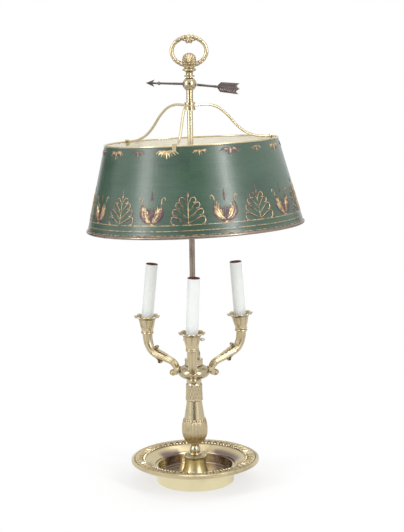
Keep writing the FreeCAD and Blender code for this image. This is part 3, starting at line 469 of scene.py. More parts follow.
def paintedTin():
    # Satin paint brushed round the cone: fine level streaks, faint cloudiness, a thin varnish
    material, tree, shader = newMaterial("shadePaint")
    uv = addNode(tree, "ShaderNodeUVMap", {"uv_map": "around"}).outputs[0]
    streaks = addNode(tree, "ShaderNodeTexNoise", Vector=mapped(tree, uv, (9.0, 900.0, 1.0)), Scale=1.0,
                      Detail=4.0, Roughness=0.65)
    clouds = addNode(tree, "ShaderNodeTexNoise", Vector=mapped(tree, uv, (10.0, 22.0, 1.0)), Scale=1.0,
                     Detail=6.0, Roughness=0.6)
    grain = groupNode(tree, tarnish, Size=25.0, Spread=0.62)
    base = ramp(tree, clouds.outputs[0], [(0.32, shadeLook["deepGreen"]), (0.52, shadeLook["green"]),
                                          (0.74, shadeLook["blueGreen"])])
    streaky = mixColour(tree, 0.35, base, ramp(tree, streaks.outputs[0], [
        (0.35, shadeLook["deepGreen"]), (0.62, shadeLook["blueGreen"])]))
    # Fine age cracks in the paint, and small rubbed flecks where the varnish has gone pale
    cracks = addNode(tree, "ShaderNodeTexVoronoi", {"feature": "DISTANCE_TO_EDGE"},
                     Vector=mapped(tree, uv, (230.0, 210.0, 1.0)), Scale=1.0)
    cracked = addNode(tree, "ShaderNodeMapRange", Value=cracks.outputs["Distance"], From_Max=0.07,
                      To_Min=0.55, To_Max=0.0)
    aged = mixColour(tree, mathNode(tree, "MULTIPLY", cracked.outputs[0], clouds.outputs[0]), streaky,
                     shadeLook["deepGreen"])
    flecks = addNode(tree, "ShaderNodeTexNoise", Vector=mapped(tree, uv, (420.0, 520.0, 1.0)), Scale=1.0,
                     Detail=3.0, Roughness=0.7)
    paleShare = addNode(tree, "ShaderNodeMapRange", Value=flecks.outputs[0], From_Min=0.56, From_Max=0.74,
                     To_Max=0.75)
    shader.inputs["Coat Weight"].default_value = shadeLook["varnish"]
    shader.inputs["Coat Roughness"].default_value = shadeLook["varnishRough"]
    speckle = mathNode(tree, "MULTIPLY", grain.outputs["Speckle"], 0.5)
    height = mathNode(tree, "MULTIPLY_ADD", streaks.outputs[0], 0.6, speckle)
    dress(tree, shader, mixColour(tree, paleShare.outputs[0], aged, shadeLook["worn"]),
          varied(tree, streaks.outputs[0], shadeLook["rough"], 0.22), height, 0.30, 0.0005)
    return material


def creamPaint():
    material, tree, shader = newMaterial("shadeCream")
    stain = groupNode(tree, tarnish, Size=14.0, Spread=0.6)
    islands = mathNode(tree, "MULTIPLY", stain.outputs["Islands"], 0.35)
    speckle = stain.outputs["Speckle"]
    dress(tree, shader, mixColour(tree, islands, shadeLook["cream"], shadeLook["creamStain"]),
          varied(tree, speckle, shadeLook["creamRough"], 0.2), speckle, 0.15, 0.0003)
    return material


def giltPaint():
    # Painted gold: tone 0 is gold, tone 1 is the dark red-brown of its shading, broken by brush marks
    material, tree, shader = newMaterial("borderPaint")
    stain = groupNode(tree, tarnish, Size=220.0, Spread=0.5)
    tone = attributeNode(tree, "tone")
    noisy = mathNode(tree, "MULTIPLY_ADD", stain.outputs["Islands"], 0.42,
                     mathNode(tree, "SUBTRACT", tone, 0.16))
    metal = mathNode(tree, "SUBTRACT", borderLook["metal"], tone)
    metal.node.use_clamp = True
    tree.links.new(metal, shader.inputs["Metallic"])
    speckle = stain.outputs["Speckle"]
    dress(tree, shader, ramp(tree, noisy, borderLook["tones"]),
          varied(tree, speckle, borderLook["rough"], 0.25), speckle, 0.3, 0.0003)
    return material


plainLooks = {
    # name: light tone, dark tone, roughness, speckle strength, metal, size of the clouds
    "candleWhite": {"light": (0.76, 0.785, 0.765), "dark": (0.73, 0.755, 0.74), "rough": 0.42, "bumpy": 0.08,
                    "metal": 0.0, "size": 30.0},
    "socketBrown": {"light": (0.13, 0.026, 0.020), "dark": (0.045, 0.012, 0.012), "rough": 0.3, "bumpy": 0.1,
                    "metal": 0.0, "size": 90.0},
    "castIron": {"light": (0.09, 0.09, 0.095), "dark": (0.04, 0.035, 0.035), "rough": 0.7, "bumpy": 0.8,
                 "metal": 0.6, "size": 60.0},
    "blackSheet": {"light": (0.03, 0.03, 0.03), "dark": (0.018, 0.018, 0.018), "rough": 0.45, "bumpy": 0.2,
                   "metal": 0.0, "size": 30.0},
    "greenFelt": {"light": (0.035, 0.11, 0.05), "dark": (0.018, 0.06, 0.028), "rough": 0.95, "bumpy": 1.0,
                  "metal": 0.0, "size": 300.0},
    "platedSteel": {"light": (0.62, 0.56, 0.40), "dark": (0.42, 0.38, 0.30), "rough": 0.32, "bumpy": 0.15,
                    "metal": 1.0, "size": 80.0},
    "leadCover": {"light": (0.52, 0.46, 0.30), "dark": (0.38, 0.33, 0.22), "rough": 0.5, "bumpy": 0.2,
                  "metal": 0.0, "size": 80.0},
    "bushingBrown": {"light": (0.045, 0.028, 0.02), "dark": (0.02, 0.014, 0.012), "rough": 0.45, "bumpy": 0.2,
                     "metal": 0.0, "size": 80.0},
}


def plain(name, look):
    material, tree, shader = newMaterial(name)
    stain = groupNode(tree, tarnish, Size=look["size"], Spread=0.55)
    speckle = stain.outputs["Speckle"]
    shader.inputs["Metallic"].default_value = look["metal"]
    dress(tree, shader, mixColour(tree, stain.outputs["Islands"], look["light"], look["dark"]),
          varied(tree, speckle, look["rough"], 0.16), speckle, look["bumpy"] * 0.5, 0.0004)
    return material


plains = {name: plain(name, look) for name, look in plainLooks.items()}
shadePaint = paintedTin()
shadeCream = creamPaint()
borderPaint = giltPaint()
print("materials made")

# CAD nodes that show as they are get their finish here

def onEach(stem):
    return [stem + "_" + side for side in ("front", "right", "left")]


nodeFinishes = {
    # The foot and socle take the paler gilt, which is painted light
    brasses["footGilt"]: ["foot_ring", "socle"],
    brasses["turnedGilt"]: ["neck_knop", "column_shaft", "hub_neck", "column_cap", "switch_housing",
                            "switch_key", "finial_neck", "carrier_tube", "spider_collar"],
    # The arm hub takes the darker gilt, which is painted shade there
    brasses["agedGilt"]: ["arm_hub", "carrier_ball"],
    brasses["brightGilt"]: ["rim_clips", "shade_top_wire"] + onEach("spoke") + onEach("socket_shell"),
    brasses["bronze"]: ["shade_rod", "shade_bottom_roll"],
    brasses["arrowBronze"]: ["arrow_point", "arrow_key", "clamp_shoe"],
    plains["candleWhite"]: onEach("candle_sleeve"),
    plains["socketBrown"]: ["switch_body"] + onEach("socket_body"),
    plains["castIron"]: ["base_weight"],
    plains["blackSheet"]: ["bottom_cover"],
    plains["greenFelt"]: ["felt_pad"],
    plains["platedSteel"]: ["cover_screws", "base_nut", "base_washer", "tie_tube", "cup_nuts",
                            "candle_nipples", "arm_nipples"] + onEach("socket_strap"),
    plains["leadCover"]: ["arm_leads"],
    plains["bushingBrown"]: ["cord_bushing"],
}
for finish, nodes in nodeFinishes.items():
    for node in nodes:
        for materialSlot in frame["nodes"][node].material_slots:
            materialSlot.material = finish

# Dish: spun well, sloping annulus, cast leaf border and a rolled lip

dish = {
    "lipRadius": 110.4, "height": 43.0, "lipThickness": 7.4, "borderIn": 89.0, "borderOut": 105.0,
    "wellRadius": 70.0, "wellTop": 30.0, "floorRadius": 62.5, "floor": 12.0, "wall": 2.0, "bore": 5.05,
    "leaves": 52, "leafHeight": 2.5, "grooveRadius": 52.7, "around": 728, "beads": 96, "beadRadius": 1.75,
    # patina patches on the well's wall, in radians round from the front: start, full, fading, end
    "patches": [(1.60, 1.90, 2.60, 2.85), (3.50, 3.62, 4.02, 4.20)],
}


def dishShape():
    d = dish
    low = d["height"] - d["lipThickness"]
    annulus = d["height"] - 4.0
    bed = annulus + 1.2
    across = np.linspace(d["borderIn"], d["borderOut"] - 0.6, 20)
    border = [(r, bed + 0.4 * (r - d["borderIn"]) / (d["borderOut"] - d["borderIn"])) for r in across[1:]]
    line = outline([
        (d["bore"], d["floor"]), (d["grooveRadius"] - 0.9, d["floor"]),
        ((d["grooveRadius"], d["floor"] - 0.7), (d["grooveRadius"] + 0.9, d["floor"])),
        (d["floorRadius"], d["floor"]),
        ((d["floorRadius"] + 4.0, d["floor"] + 7.5), (d["wellRadius"] - 1.5, d["wellTop"] - 1.2)),
        ((d["wellRadius"] - 0.9, d["wellTop"] - 0.2), (d["wellRadius"] + 1.0, d["wellTop"])),
        (d["borderIn"] - 2.0, annulus), ((d["borderIn"] - 1.2, annulus + 1.0), (d["borderIn"], bed)),
        *border, (d["borderOut"], d["height"] - 1.4),
        ((d["borderOut"] + 0.9, d["height"] - 0.5), (d["borderOut"] + 1.8, d["height"] - 1.2)),
        ((d["lipRadius"], d["height"] - 0.5 * d["lipThickness"]), (d["lipRadius"] - 3.0, low)),
        (d["borderOut"] - 3.0, low + 1.2), (d["borderIn"], annulus - d["wall"]),
        (d["wellRadius"] - 0.5, d["wellTop"] - d["wall"]), (d["floorRadius"] + 1.9, d["wellTop"] - d["wall"]),
        (d["floorRadius"] + 0.5, d["floor"] - d["wall"]), (d["bore"], d["floor"] - d["wall"])], 2.6)
    radius = line[:, 0]
    theta = ringAngles(d["around"])[:, None]
    across = np.clip((radius - d["borderIn"]) / (d["borderOut"] - d["borderIn"]), 0, 1)[None]
    upper = ((line[:, 1] > bed - 0.3) & (radius > d["borderIn"]) & (radius < d["borderOut"]))[None]
    height = leafBand(theta * d["leaves"] / (2 * math.pi), across)
    relief = np.where(upper, height * d["leafHeight"], 0)
    # The leaf border's low ground, the groove, the channel under the bead row and the well's foot are
    # darkened: painted shade
    hollow = np.where(upper, np.clip(1.15 - height * 1.35, 0, 1), 0)
    groove = np.exp(-((radius - d["grooveRadius"]) / 0.8) ** 2)[None] * (line[:, 1] > d["floor"] - 1)[None]
    beadChannel = 1.3 * np.exp(-((radius - d["borderIn"] + 0.4) / 1.5) ** 2)[None]
    groove = np.clip(np.maximum(groove, beadChannel), 0, 1)
    well = np.exp(-((radius - d["floorRadius"] - 0.5) / 2.0) ** 2)[None] * (line[:, 1] < d["floor"] + 3)[None]
    shape = turned(line, d["around"], relief, np.maximum(hollow, np.maximum(groove, 0.5 * well)) + 0 * theta)
    # Dark patina on the well's wall: a wide patch at the back right and a smaller one at the back left
    wall = (bump(radius, 61.0, 63.5) * bump(-radius, -84.0, -73.0))[None]
    right, left = (bump(theta, start, full) * bump(-theta, -end, -fading)
                   for start, full, fading, end in d["patches"])
    # The well's floor is also darkened evenly a little
    flat = (0.14 * bump(-radius, -64.0, -61.0) * bump(radius, 24.0, 40.0))[None]
    shape["tone"] = np.maximum(wall * np.maximum(right, left), flat + 0 * theta).reshape(-1)
    return shape


def leafBand(count, across):
    # Rounded leaves side by side, with smaller ones in the gaps: a leaf is the root of one minus its
    # distance from the middle rib, over a width that closes at both ends; veins are cosines off the rib
    s = across
    phase = (count % 1.0) * 2 - 1
    gap = ((count + 0.5) % 1.0) * 2 - 1
    wide = 0.88 * np.sqrt(np.clip(1 - (1.9 * s - 0.95) ** 2, 0, 1)) + 1e-4
    main = np.sqrt(np.clip(1 - (phase / wide) ** 2, 0, 1))
    veins = 0.70 + 0.30 * np.cos(10.0 * np.abs(phase) - 11.0 * s)
    rib = 0.35 * np.exp(-(phase / 0.12) ** 2)
    main = main * veins * (0.75 + 0.25 * np.sin(math.pi * s)) - 0.18 * rib * np.sin(6 * math.pi * s) ** 2
    slim = 0.42 * np.sqrt(np.clip(1 - ((s - 0.78) / 0.2) ** 2, 0, 1)) + 1e-4
    small = 0.9 * np.sqrt(np.clip(1 - (gap / slim) ** 2, 0, 1))
    return np.clip(np.maximum(main, small), 0, 1.2)


def dishPieces():
    shape = dishShape()
    angle = ringAngles(dish["beads"])
    r = dish["borderIn"] - 0.6
    z = dish["height"] - 2.2
    row = beads(np.stack([r * np.sin(angle), -r * np.cos(angle), z + 0 * angle], axis=-1), dish["beadRadius"])
    addPiece("dish_cast", shape, brasses["dishGilt"], "stand", ["dish_base"], 50)
    addPiece("dish_beads", row, brasses["castGilt"], "stand")


dishPieces()
print("dish made")

# Column castings: the collar of leaves on the socle, the leaf vase and the leaf sleeve

column = {
    "bore": 5.05, "socleTop": 40.4, "collarRadius": 19.8, "collarHeight": 7.0, "collarLeaves": 16,
    "vaseBottom": 69.05, "vaseHeight": 42.95, "vaseRadius": 21.4, "vaseFoot": 12.4, "vaseTop": 18.1,
    "vaseLeaves": 22, "vaseAround": 660, "around": 640,
    "sleeveBottom": 142.95, "sleeveHeight": 29.1, "sleeveFoot": 14.4, "sleeveTop": 13.5, "sleeveLeaves": 18,
}


def leafTongue(count, s, lap=0.5):
    # Long upright tongues in two staggered rows: a raised midrib, sunk edges and a pointed tip
    phase = (count % 1.0) * 2 - 1
    shifted = ((count + lap) % 1.0) * 2 - 1
    front = np.clip(1 - np.abs(phase) ** 1.6, 0, 1) * (0.72 + 0.28 * np.exp(-(phase / 0.16) ** 2))
    back = np.clip(1 - np.abs(shifted) ** 1.6, 0, 1) * 0.62
    width = bump(1 - s, 0.0, 0.16)
    tips = np.clip(1 - np.abs(phase) / (width + 1e-3), 0, 1) > 0
    return np.where(tips, np.maximum(front * (0.4 + 0.6 * width), back), back)


def vaseShape():
    c = column
    z, h, r = c["vaseBottom"], c["vaseHeight"], c["vaseRadius"] - 0.5
    line = outline([
        (c["bore"], z), (c["vaseFoot"], z), (c["vaseFoot"] + 0.6, z + 1.4),
        ((r - 2.5, z + 0.20 * h), (r, z + 0.48 * h)),
        ((r - 0.4, z + 0.74 * h), (c["vaseTop"] + 0.7, z + 0.95 * h)),
        ((c["vaseTop"] + 0.9, z + 0.97 * h), (c["vaseTop"], z + h)), (c["bore"], z + h)], 0.95)
    s = np.clip((line[:, 1] - z) / h, 0, 1)[None]
    theta = ringAngles(c["vaseAround"])[:, None]
    side = (line[:, 0] > c["vaseFoot"] - 0.1)[None] * bump(s, 0.0, 0.05) * bump(1 - s, 0.0, 0.04)
    turns = theta / (2 * math.pi) * c["vaseLeaves"]
    height = leafTongue(turns, np.clip(s * 1.06, 0, 1))
    veins = 0.16 * np.cos(turns * 2 * math.pi * 4) * np.sin(s * 60)
    relief = side * ((height - 0.25) * 1.5 + veins)
    # Low ground between the leaves and their veins is darkened: painted shade
    hollow = side * np.clip(1.05 - 1.55 * height - veins, 0, 1)
    return turned(line, c["vaseAround"], relief, hollow)


def sleeveShape():
    c = column
    z, h = c["sleeveBottom"], c["sleeveHeight"]
    top = z + h
    line = outline([
        (c["bore"], z), (c["sleeveFoot"] - 0.6, z),
        ((c["sleeveFoot"], z + 1.2), (c["sleeveFoot"] - 0.3, z + 3.0)),
        ((c["sleeveFoot"] - 0.8, z + 0.5 * h), (c["sleeveTop"], top - 1.0)), (c["sleeveTop"] - 0.4, top),
        (c["bore"], top)], 0.6)
    s = np.clip((line[:, 1] - z) / h, 0, 1)[None]
    theta = ringAngles(c["around"])[:, None]
    side = (line[:, 0] > c["sleeveTop"] - 1.2)[None] * bump(s, 0.02, 0.08) * bump(1 - s, 0.0, 0.05)
    turns = theta / (2 * math.pi) * c["sleeveLeaves"]
    rows = np.abs(((s * 2.2 + 0.5 * (np.floor(turns * 2) % 2)) % 1.0) * 2 - 1)
    height = 0.55 * leafTongue(turns * 2, s) + 0.45 * (1 - rows)
    veins = 0.2 * np.cos(turns * 2 * math.pi * 3 + 14 * s)
    relief = side * ((height - 0.35) * 1.1 + 0.3 * veins)
    # Low ground between the leaves is darkened: painted shade
    hollow = side * np.clip(0.95 - 1.4 * height - 0.5 * veins, 0, 1)
    return turned(line, c["around"], relief, hollow)


def socleCollarShape():
    c = column
    z, h, r = c["socleTop"] + 0.05, c["collarHeight"] - 0.05, c["collarRadius"]
    line = outline([
        (c["bore"], z), (r - 3.4, z), ((r - 0.9, z + h * 0.45), (r - 3.2, z + h - 1.0)),
        (r - 3.6, z + h - 0.6), (12.0, z + h), (c["bore"], z + h)], 0.45)
    theta = ringAngles(c["around"])[:, None]
    turns = theta / (2 * math.pi) * c["collarLeaves"]
    s = np.clip((line[:, 1] - z) / h, 0, 1)[None]
    side = (line[:, 0] > r - 4.2)[None] * np.sin(math.pi * np.clip(s, 0, 1))
    phase = (turns % 1.0) * 2 - 1
    leaf = np.sqrt(np.clip(1 - phase ** 2, 0, 1)) * (0.7 + 0.3 * np.cos(phase * 12 + s * 6))
    nib = np.exp(-(((turns + 0.5) % 1.0 * 2 - 1) / 0.22) ** 2)
    height = np.maximum(leaf, nib)
    # Low ground between the leaves and nibs is darkened: painted shade
    hollow = side * np.clip(1.2 - height * 1.3, 0, 1)
    return turned(line, c["around"], side * (height * 2.3 - 0.9), hollow)


addPiece("vase_cast", vaseShape(), brasses["castGilt"], "stand", ["leaf_vase"], 60)
addPiece("sleeve_cast", sleeveShape(), brasses["castGilt"], "stand", ["leaf_sleeve"], 60)
addPiece("collar_cast", socleCollarShape(), brasses["collarGilt"], "stand", ["socle_collar"],
         60)
print("column castings made")

# Arms: leaf-wrapped scrolls from the hub to the cups

hubCentre = 0.5 * (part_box("arm_hub")[0].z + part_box("arm_hub")[1].z) / millimetre
armLook = {
    "hubRadius": 27.5, "reach": 93.1, "rise": 60.4, "topRadius": 8.7, "middleRadius": 7.1, "endRadius": 5.2,
    "ringRadius": 10.0, "ringHeight": 3.0, "scrollRadius": 7.2, "scrollWidth": 10.5, "nubs": 8,
    "bossRadius": 5.8, "nippleHeight": 0.8, "steps": 240, "around": 96,
    # where the first and second leaf end along the bar, and the ribs of each leaf
    "leafEnds": (0.30, 0.62), "leafRibs": (5, 7, 9),
}
arms = {
    # azimuth from the front, lift and stretch of the end, sideways lean of the cup and of the candle
    "front": {"azimuth": 0.0, "lift": 0.0, "stretch": 0.0, "cupLean": 0.0, "candleLean": 2.6},
    "right": {"azimuth": 120.0, "lift": 3.4, "stretch": 1.5, "cupLean": -4.2, "candleLean": -4.2},
    "left": {"azimuth": -120.0, "lift": 0.0, "stretch": 0.5, "cupLean": 0.0, "candleLean": 5.9},
}
cup = {
    "height": 29.0, "footRadius": 10.2, "bodyRadius": 12.6, "rimRadius": 22.7, "seatDepth": 11.8,
    "candleRadius": 10.3, "candleLength": 101.6, "play": 0.75, "bore": 5.5, "lobes": 8, "leaves": 8,
    "around": 384,
}


def planeSweep(line, radii, around, hollow=None):
    # A bar along a line in the XZ plane
    binormal = np.tile([0.0, 1.0, 0.0], (len(line), 1))
    return sweep(line, planeNormals(line), binormal, radii, around, hollow=hollow)


def spiral(centre, radius, startAngle, turnsTaken, width, thickness, tail=None):
    # A rolled leaf: the strip's middle line winds in as radius * (1 - 0.72 * share), its section is a
    # flat oval of the given width across and thickness in the plane
    share = np.linspace(0, 1, 46)
    angle = math.radians(startAngle) + share * turnsTaken * 2 * math.pi
    r = (radius - thickness) * (1 - 0.72 * share)
    line = np.stack([centre[0] + r * np.cos(angle), 0 * angle, centre[1] + r * np.sin(angle)], axis=-1)
    if tail is not None:
        far = np.array([tail[0], 0, tail[1]])
        lead = through([far, 0.5 * (far + line[0]), line[0]], 10)[:-1]
        line = np.concatenate([lead, line])
    share = np.linspace(0, 1, len(line))
    flat = thickness * (1.0 - 0.35 * share)
    across = 0.5 * width * (1 - 0.12 * share)
    phi = ringAngles(14)[None]
    # The strip darkens as it winds inwards: painted shade
    inner = np.clip(0.15 + 0.5 * share, 0, 1)[:, None] * (0.5 + 0.5 * np.abs(np.cos(phi)))
    return band(line, flat[:, None] * np.cos(phi), across[:, None] * np.sin(phi), inner)


def drum(centre, radius, width, bulge=0.8):
    # The eye of a scroll: a short button across the arm, rounded at both ends
    profile = np.array([(0.0, -0.5 * width - bulge), (0.55 * radius, -0.5 * width - 0.8 * bulge),
                        (radius, -0.5 * width), (radius, 0.5 * width),
                        (0.55 * radius, 0.5 * width + 0.8 * bulge), (0.0, 0.5 * width + bulge)])
    line = through(profile, 20)
    phi = ringAngles(26)
    points = np.stack([centre[0] + line[:, 0][:, None] * np.cos(phi)[None],
                       line[:, 1][:, None] + 0 * phi[None],
                       centre[1] + line[:, 0][:, None] * np.sin(phi)[None]], axis=-1)
    return gridShape(points[1:-1], wrapV=True, capU=True)


def armBar(inner, outer, rise):
    a = armLook
    knots = [(inner + 8.4, -6.0), (inner + 7.6, 0.0), (inner + 9.0, 6.6), (inner + 16.5, 13.4),
             (0.5 * (inner + outer) - 2.0, 0.30 * rise), (outer - 21.5, rise - 38.2),
             (outer - 10.0, rise - 32.6), (outer - 3.2, rise - 22.5),
             (outer - 0.6, rise - 11.5), (outer, rise - 0.5)]
    line = through([(x, 0, hubCentre + z) for x, z in knots], a["steps"])
    t = np.linspace(0, 1, a["steps"])[:, None]
    phi = ringAngles(a["around"])[None]
    base = np.where(t < 0.5, a["endRadius"] + (a["middleRadius"] - a["endRadius"]) * t / 0.5,
                    a["middleRadius"] + (a["topRadius"] - a["middleRadius"]) * (t - 0.5) / 0.5)
    # Three leaves wrap the bar one after another; each swells towards its tip and drops to the next
    first, second = a["leafEnds"]
    lowRibs, middleRibs, topRibs = a["leafRibs"]
    stage = np.where(t < first, t / first,
                     np.where(t < second, (t - first) / (second - first), (t - second) / (1 - second)))
    ribs = np.where(t < first, lowRibs, np.where(t < second, middleRibs, topRibs))
    fold = np.abs(np.cos(0.5 * ribs * phi))
    swell = 0.55 * stage ** 2 * (1.0 + 0.25 * np.cos(ribs * phi))
    fine = 0.10 * np.cos(3 * ribs * phi + 9 * stage)
    radii = base * 0.95 + swell - 0.45 * (1 - fold ** 0.6 * 0.9) + fine + 0.15
    # The creases between ribs and each leaf's base under the one before are darkened: painted shade
    hollow = np.clip(0.42 * (1 - fold) ** 1.6 + 0.6 * np.exp(-stage / 0.06) - 0.05, 0, 1)
    return planeSweep(line, radii, a["around"], hollow)


def armScrolls(inner, outer, rise):
    # The scroll and its eye at the hub, and two curls under the bar's upper end
    a = armLook
    scrollAt = (inner + 14.6, hubCentre - 5.4)
    return [
        spiral(scrollAt, a["scrollRadius"], 175, 1.35, a["scrollWidth"], 1.9),
        drum(scrollAt, 2.6, a["scrollWidth"] * 0.8),
        drum((inner + 8.6, hubCentre - 5.0), 4.6, a["scrollWidth"] * 0.7, 1.0),
        spiral((outer - 18.8, hubCentre + rise - 24.6), 3.9, 300, -1.3, 8.6, 1.05,
               (outer - 12.6, hubCentre + rise - 29.0)),
        spiral((outer - 26.3, hubCentre + rise - 49.6), 4.5, 35, -1.3, 9.6, 1.15,
               (outer - 18.0, hubCentre + rise - 43.0)),
    ]


def topLeaf(inner, outer, rise):
    # A leaf laid along the top of the bar, its tip lifting near the upper curl
    line = through([(inner + 20.0, 0, hubCentre + 20.5),
                    (0.5 * (inner + outer), 0, hubCentre + 0.30 * rise + 8.2),
                    (outer - 22.0, 0, hubCentre + rise - 30.0),
                    (outer - 17.5, 0, hubCentre + rise - 26.0)], 60)
    u = np.linspace(0, 1, len(line))[:, None]
    wide = 4.6 * np.sin(math.pi * np.clip(u * 0.92 + 0.06, 0, 1)) ** 0.6 * (1 + 0.16 * np.cos(u * 34))
    return leafStrip(line, wide)


def armRing(outer, low):
    # The collar under the cup, with a row of round nubs
    a = armLook
    line = outline([(5.2, low), (a["ringRadius"] - 0.6, low),
                    ((a["ringRadius"], low + 1.0), (a["ringRadius"] - 0.5, low + 1.9)),
                    (a["ringRadius"] - 0.6, low + 2.95), (5.2, low + 2.95)], 0.5)
    ring = moved(turned(line, 72), lambda v: v + np.array([outer, 0, 0]))
    angle = ringAngles(a["nubs"]) + math.pi / a["nubs"]
    nubs = beads(np.stack([outer + a["ringRadius"] * np.cos(angle), a["ringRadius"] * np.sin(angle),
                           low + 1.3 + 0 * angle], axis=-1), 1.35)
    return [ring, nubs]


def armBoss(inner):
    line = np.stack([np.linspace(inner + 0.1, inner + 8.0, 6), np.zeros(6),
                     np.full(6, hubCentre + armLook["nippleHeight"])], axis=-1)
    taper = armLook["bossRadius"] * np.linspace(1.0, 0.85, 6)[:, None] + np.zeros((6, 28))
    return planeSweep(line, taper, 28)


def armShape(arm):
    inner = armLook["hubRadius"]
    outer = armLook["reach"] + arm["stretch"]
    rise = armLook["rise"] + arm["lift"]
    parts = [armBar(inner, outer, rise), *armScrolls(inner, outer, rise), topLeaf(inner, outer, rise),
             *armRing(outer, hubCentre + rise - armLook["ringHeight"]), armBoss(inner)]
    return moved(joined(parts), turnTo(arm["azimuth"]))


def leafStrip(line, halfWidth):
    # A thin leaf along a line: a flat oval section as wide as the leaf, raised at its midrib
    phi = ringAngles(20)[None]
    lift = 0.75 * (1 + 0.5 * np.exp(-(np.sin(phi) / 0.25) ** 2))
    # The leaf's edges are darkened: painted shade
    return band(line, lift * np.cos(phi) + 0 * halfWidth, halfWidth * np.sin(phi),
                0.55 * np.abs(np.sin(phi)) ** 3 + 0 * halfWidth)


def placeOnArm(arm, lean):
    # Upright pieces with z = 0 on the candle seat lean in the cup, then with the cup, and go to the arm
    own = rotation((0, 1, 0), lean)
    withCup = rotation((0, 1, 0), arm["cupLean"])
    a = math.radians(arm["azimuth"])
    reach = armLook["reach"] + arm["stretch"]
    seat = hubCentre + armLook["rise"] + arm["lift"] + cup["height"] - cup["seatDepth"]
    place = np.array([reach * math.sin(a), -reach * math.cos(a), seat])

    def move(v):
        v = about(v, np.array([0, 0, 0.25 * cup["seatDepth"]]), own)
        return about(v, np.array([0, 0, cup["seatDepth"] - cup["height"]]), withCup) + place
    return move


def petals(v):
    # The rim's edge draws out and lifts on each lobe and turns down between them
    c = cup
    angle = np.arctan2(v[:, 0], -v[:, 1])
    share = bump(np.hypot(v[:, 0], v[:, 1]), c["bodyRadius"] + 2.5, c["rimRadius"] - 0.6)
    wave = np.cos(c["lobes"] * angle)
    between = 1 - np.abs(np.cos(0.5 * c["lobes"] * angle)) ** 0.6
    grow = 1 + share * (0.012 * wave - 0.045 * between)
    lift = share * (0.55 * wave - 0.8 * between)
    return np.stack([v[:, 0] * grow, v[:, 1] * grow, v[:, 2] + lift], axis=-1)


def cupShape(arm):
    c = cup
    leanDrop = c["footRadius"] * math.sin(math.radians(abs(arm["cupLean"])))
    bottom = c["seatDepth"] - c["height"] + leanDrop + 0.05
    well = c["candleRadius"] + c["play"]
    lip = c["seatDepth"]
    body = c["bodyRadius"]
    line = outline([
        (c["bore"], bottom), (c["footRadius"], bottom),
        ((c["footRadius"] + 0.5, bottom + 1.0), (c["footRadius"] - 0.2, bottom + 2.0)),
        ((body - 1.1, 0.45 * bottom), (body + 1.9, 4.2)),
        ((body + 4.0, 7.6), (c["rimRadius"] - 2.6, lip - 2.4)),
        ((c["rimRadius"] - 0.6, lip - 1.6), (c["rimRadius"] - 1.6, lip - 0.4)),
        ((c["rimRadius"] - 3.4, lip - 1.0), (well + 4.0, lip - 2.6)), ((well + 1.0, lip - 3.9), (well, 5.4)),
        (well, 0), (c["bore"], 0)], 0.6)
    r, z = line[:, 0][None], line[:, 1][None]
    theta = ringAngles(c["around"])[:, None]
    rim = bump(r, body + 3.0, c["rimRadius"] - 1.0)
    fold = np.abs(np.cos(0.5 * c["lobes"] * theta)) ** 0.5
    outside = (r > c["footRadius"] - 0.4) & (z < lip - 3.0) & (r > well + 0.2)
    s = np.clip((z - bottom) / (8.0 - bottom), 0, 1)
    leaf = np.clip(1 - (np.abs(((theta / (2 * math.pi) * c["leaves"]) % 1.0) * 2 - 1)
                        / (0.96 * np.sqrt(np.clip(1 - s ** 3, 0, 1)) + 1e-3)) ** 2, 0, 1) ** 0.5
    vein = np.cos(theta * c["leaves"] * 4 + 8 * s)
    fade = np.sin(math.pi * np.clip(s * 0.9 + 0.1, 0, 1))
    relief = np.where(outside, (leaf * 0.6 + 0.09 * vein - 0.2) * fade, 0)
    # The ground between the outer leaves, the rim's folds between lobes and the inside under the rim are
    # darkened: painted shade
    hollow = np.where(outside, np.clip(0.40 - leaf * 0.6, 0, 1), 0) + rim * np.clip(0.8 - fold, 0, 1)
    inside = np.where((r < c["rimRadius"] - 3.2) & (z > 4.0) & (r < body + 6) & (z > lip - 6), 0.75, 0)
    hollow = np.clip(np.maximum(hollow, inside * (1 - rim)), 0, 1)
    shape = moved(turned(line, c["around"], relief, hollow), petals)
    return moved(shape, placeOnArm(arm, 0))


def socketRim(arm):
    # The dark pressed edge that closes each candle sleeve's top
    lean = arm["candleLean"] - arm["cupLean"]
    low = cup["candleRadius"] * math.sin(math.radians(abs(lean))) + 0.25
    top = low + cup["candleLength"]
    r = cup["candleRadius"]
    line = outline([(r - 1.1, top - 1.4), (r + 0.12, top - 0.9),
                    ((r + 0.22, top - 0.3), (r - 0.3, top + 0.25)),
                    ((r - 0.8, top + 0.1), (r - 1.2, top - 0.4))], 0.3)
    return moved(turned(line, 64), placeOnArm(arm, lean))


for name, arm in arms.items():
    addPiece("arm_cast_" + name, armShape(arm), brasses["castGilt"], "stand", ["arm_" + name],
             55)
    addPiece("cup_cast_" + name, cupShape(arm), brasses["castGilt"], "stand",
             ["candle_cup_" + name], 55)
    addPiece("socket_rim_" + name, socketRim(arm), plains["socketBrown"], "stand")
print("arms and cups made")

# Finial: a cast ring handle with a shell at its foot and a crest on top

handle = {
    "bottom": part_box("ring_handle")[0].z / millimetre, "width": 64.2, "height": 54.0, "tube": 3.4,
    "side": 20.0, "shellWidth": 22.0, "lobes": 9, "crestWidth": 20.0, "thick": 7.0, "boss": 7.0,
    "grip": 4.8,
}


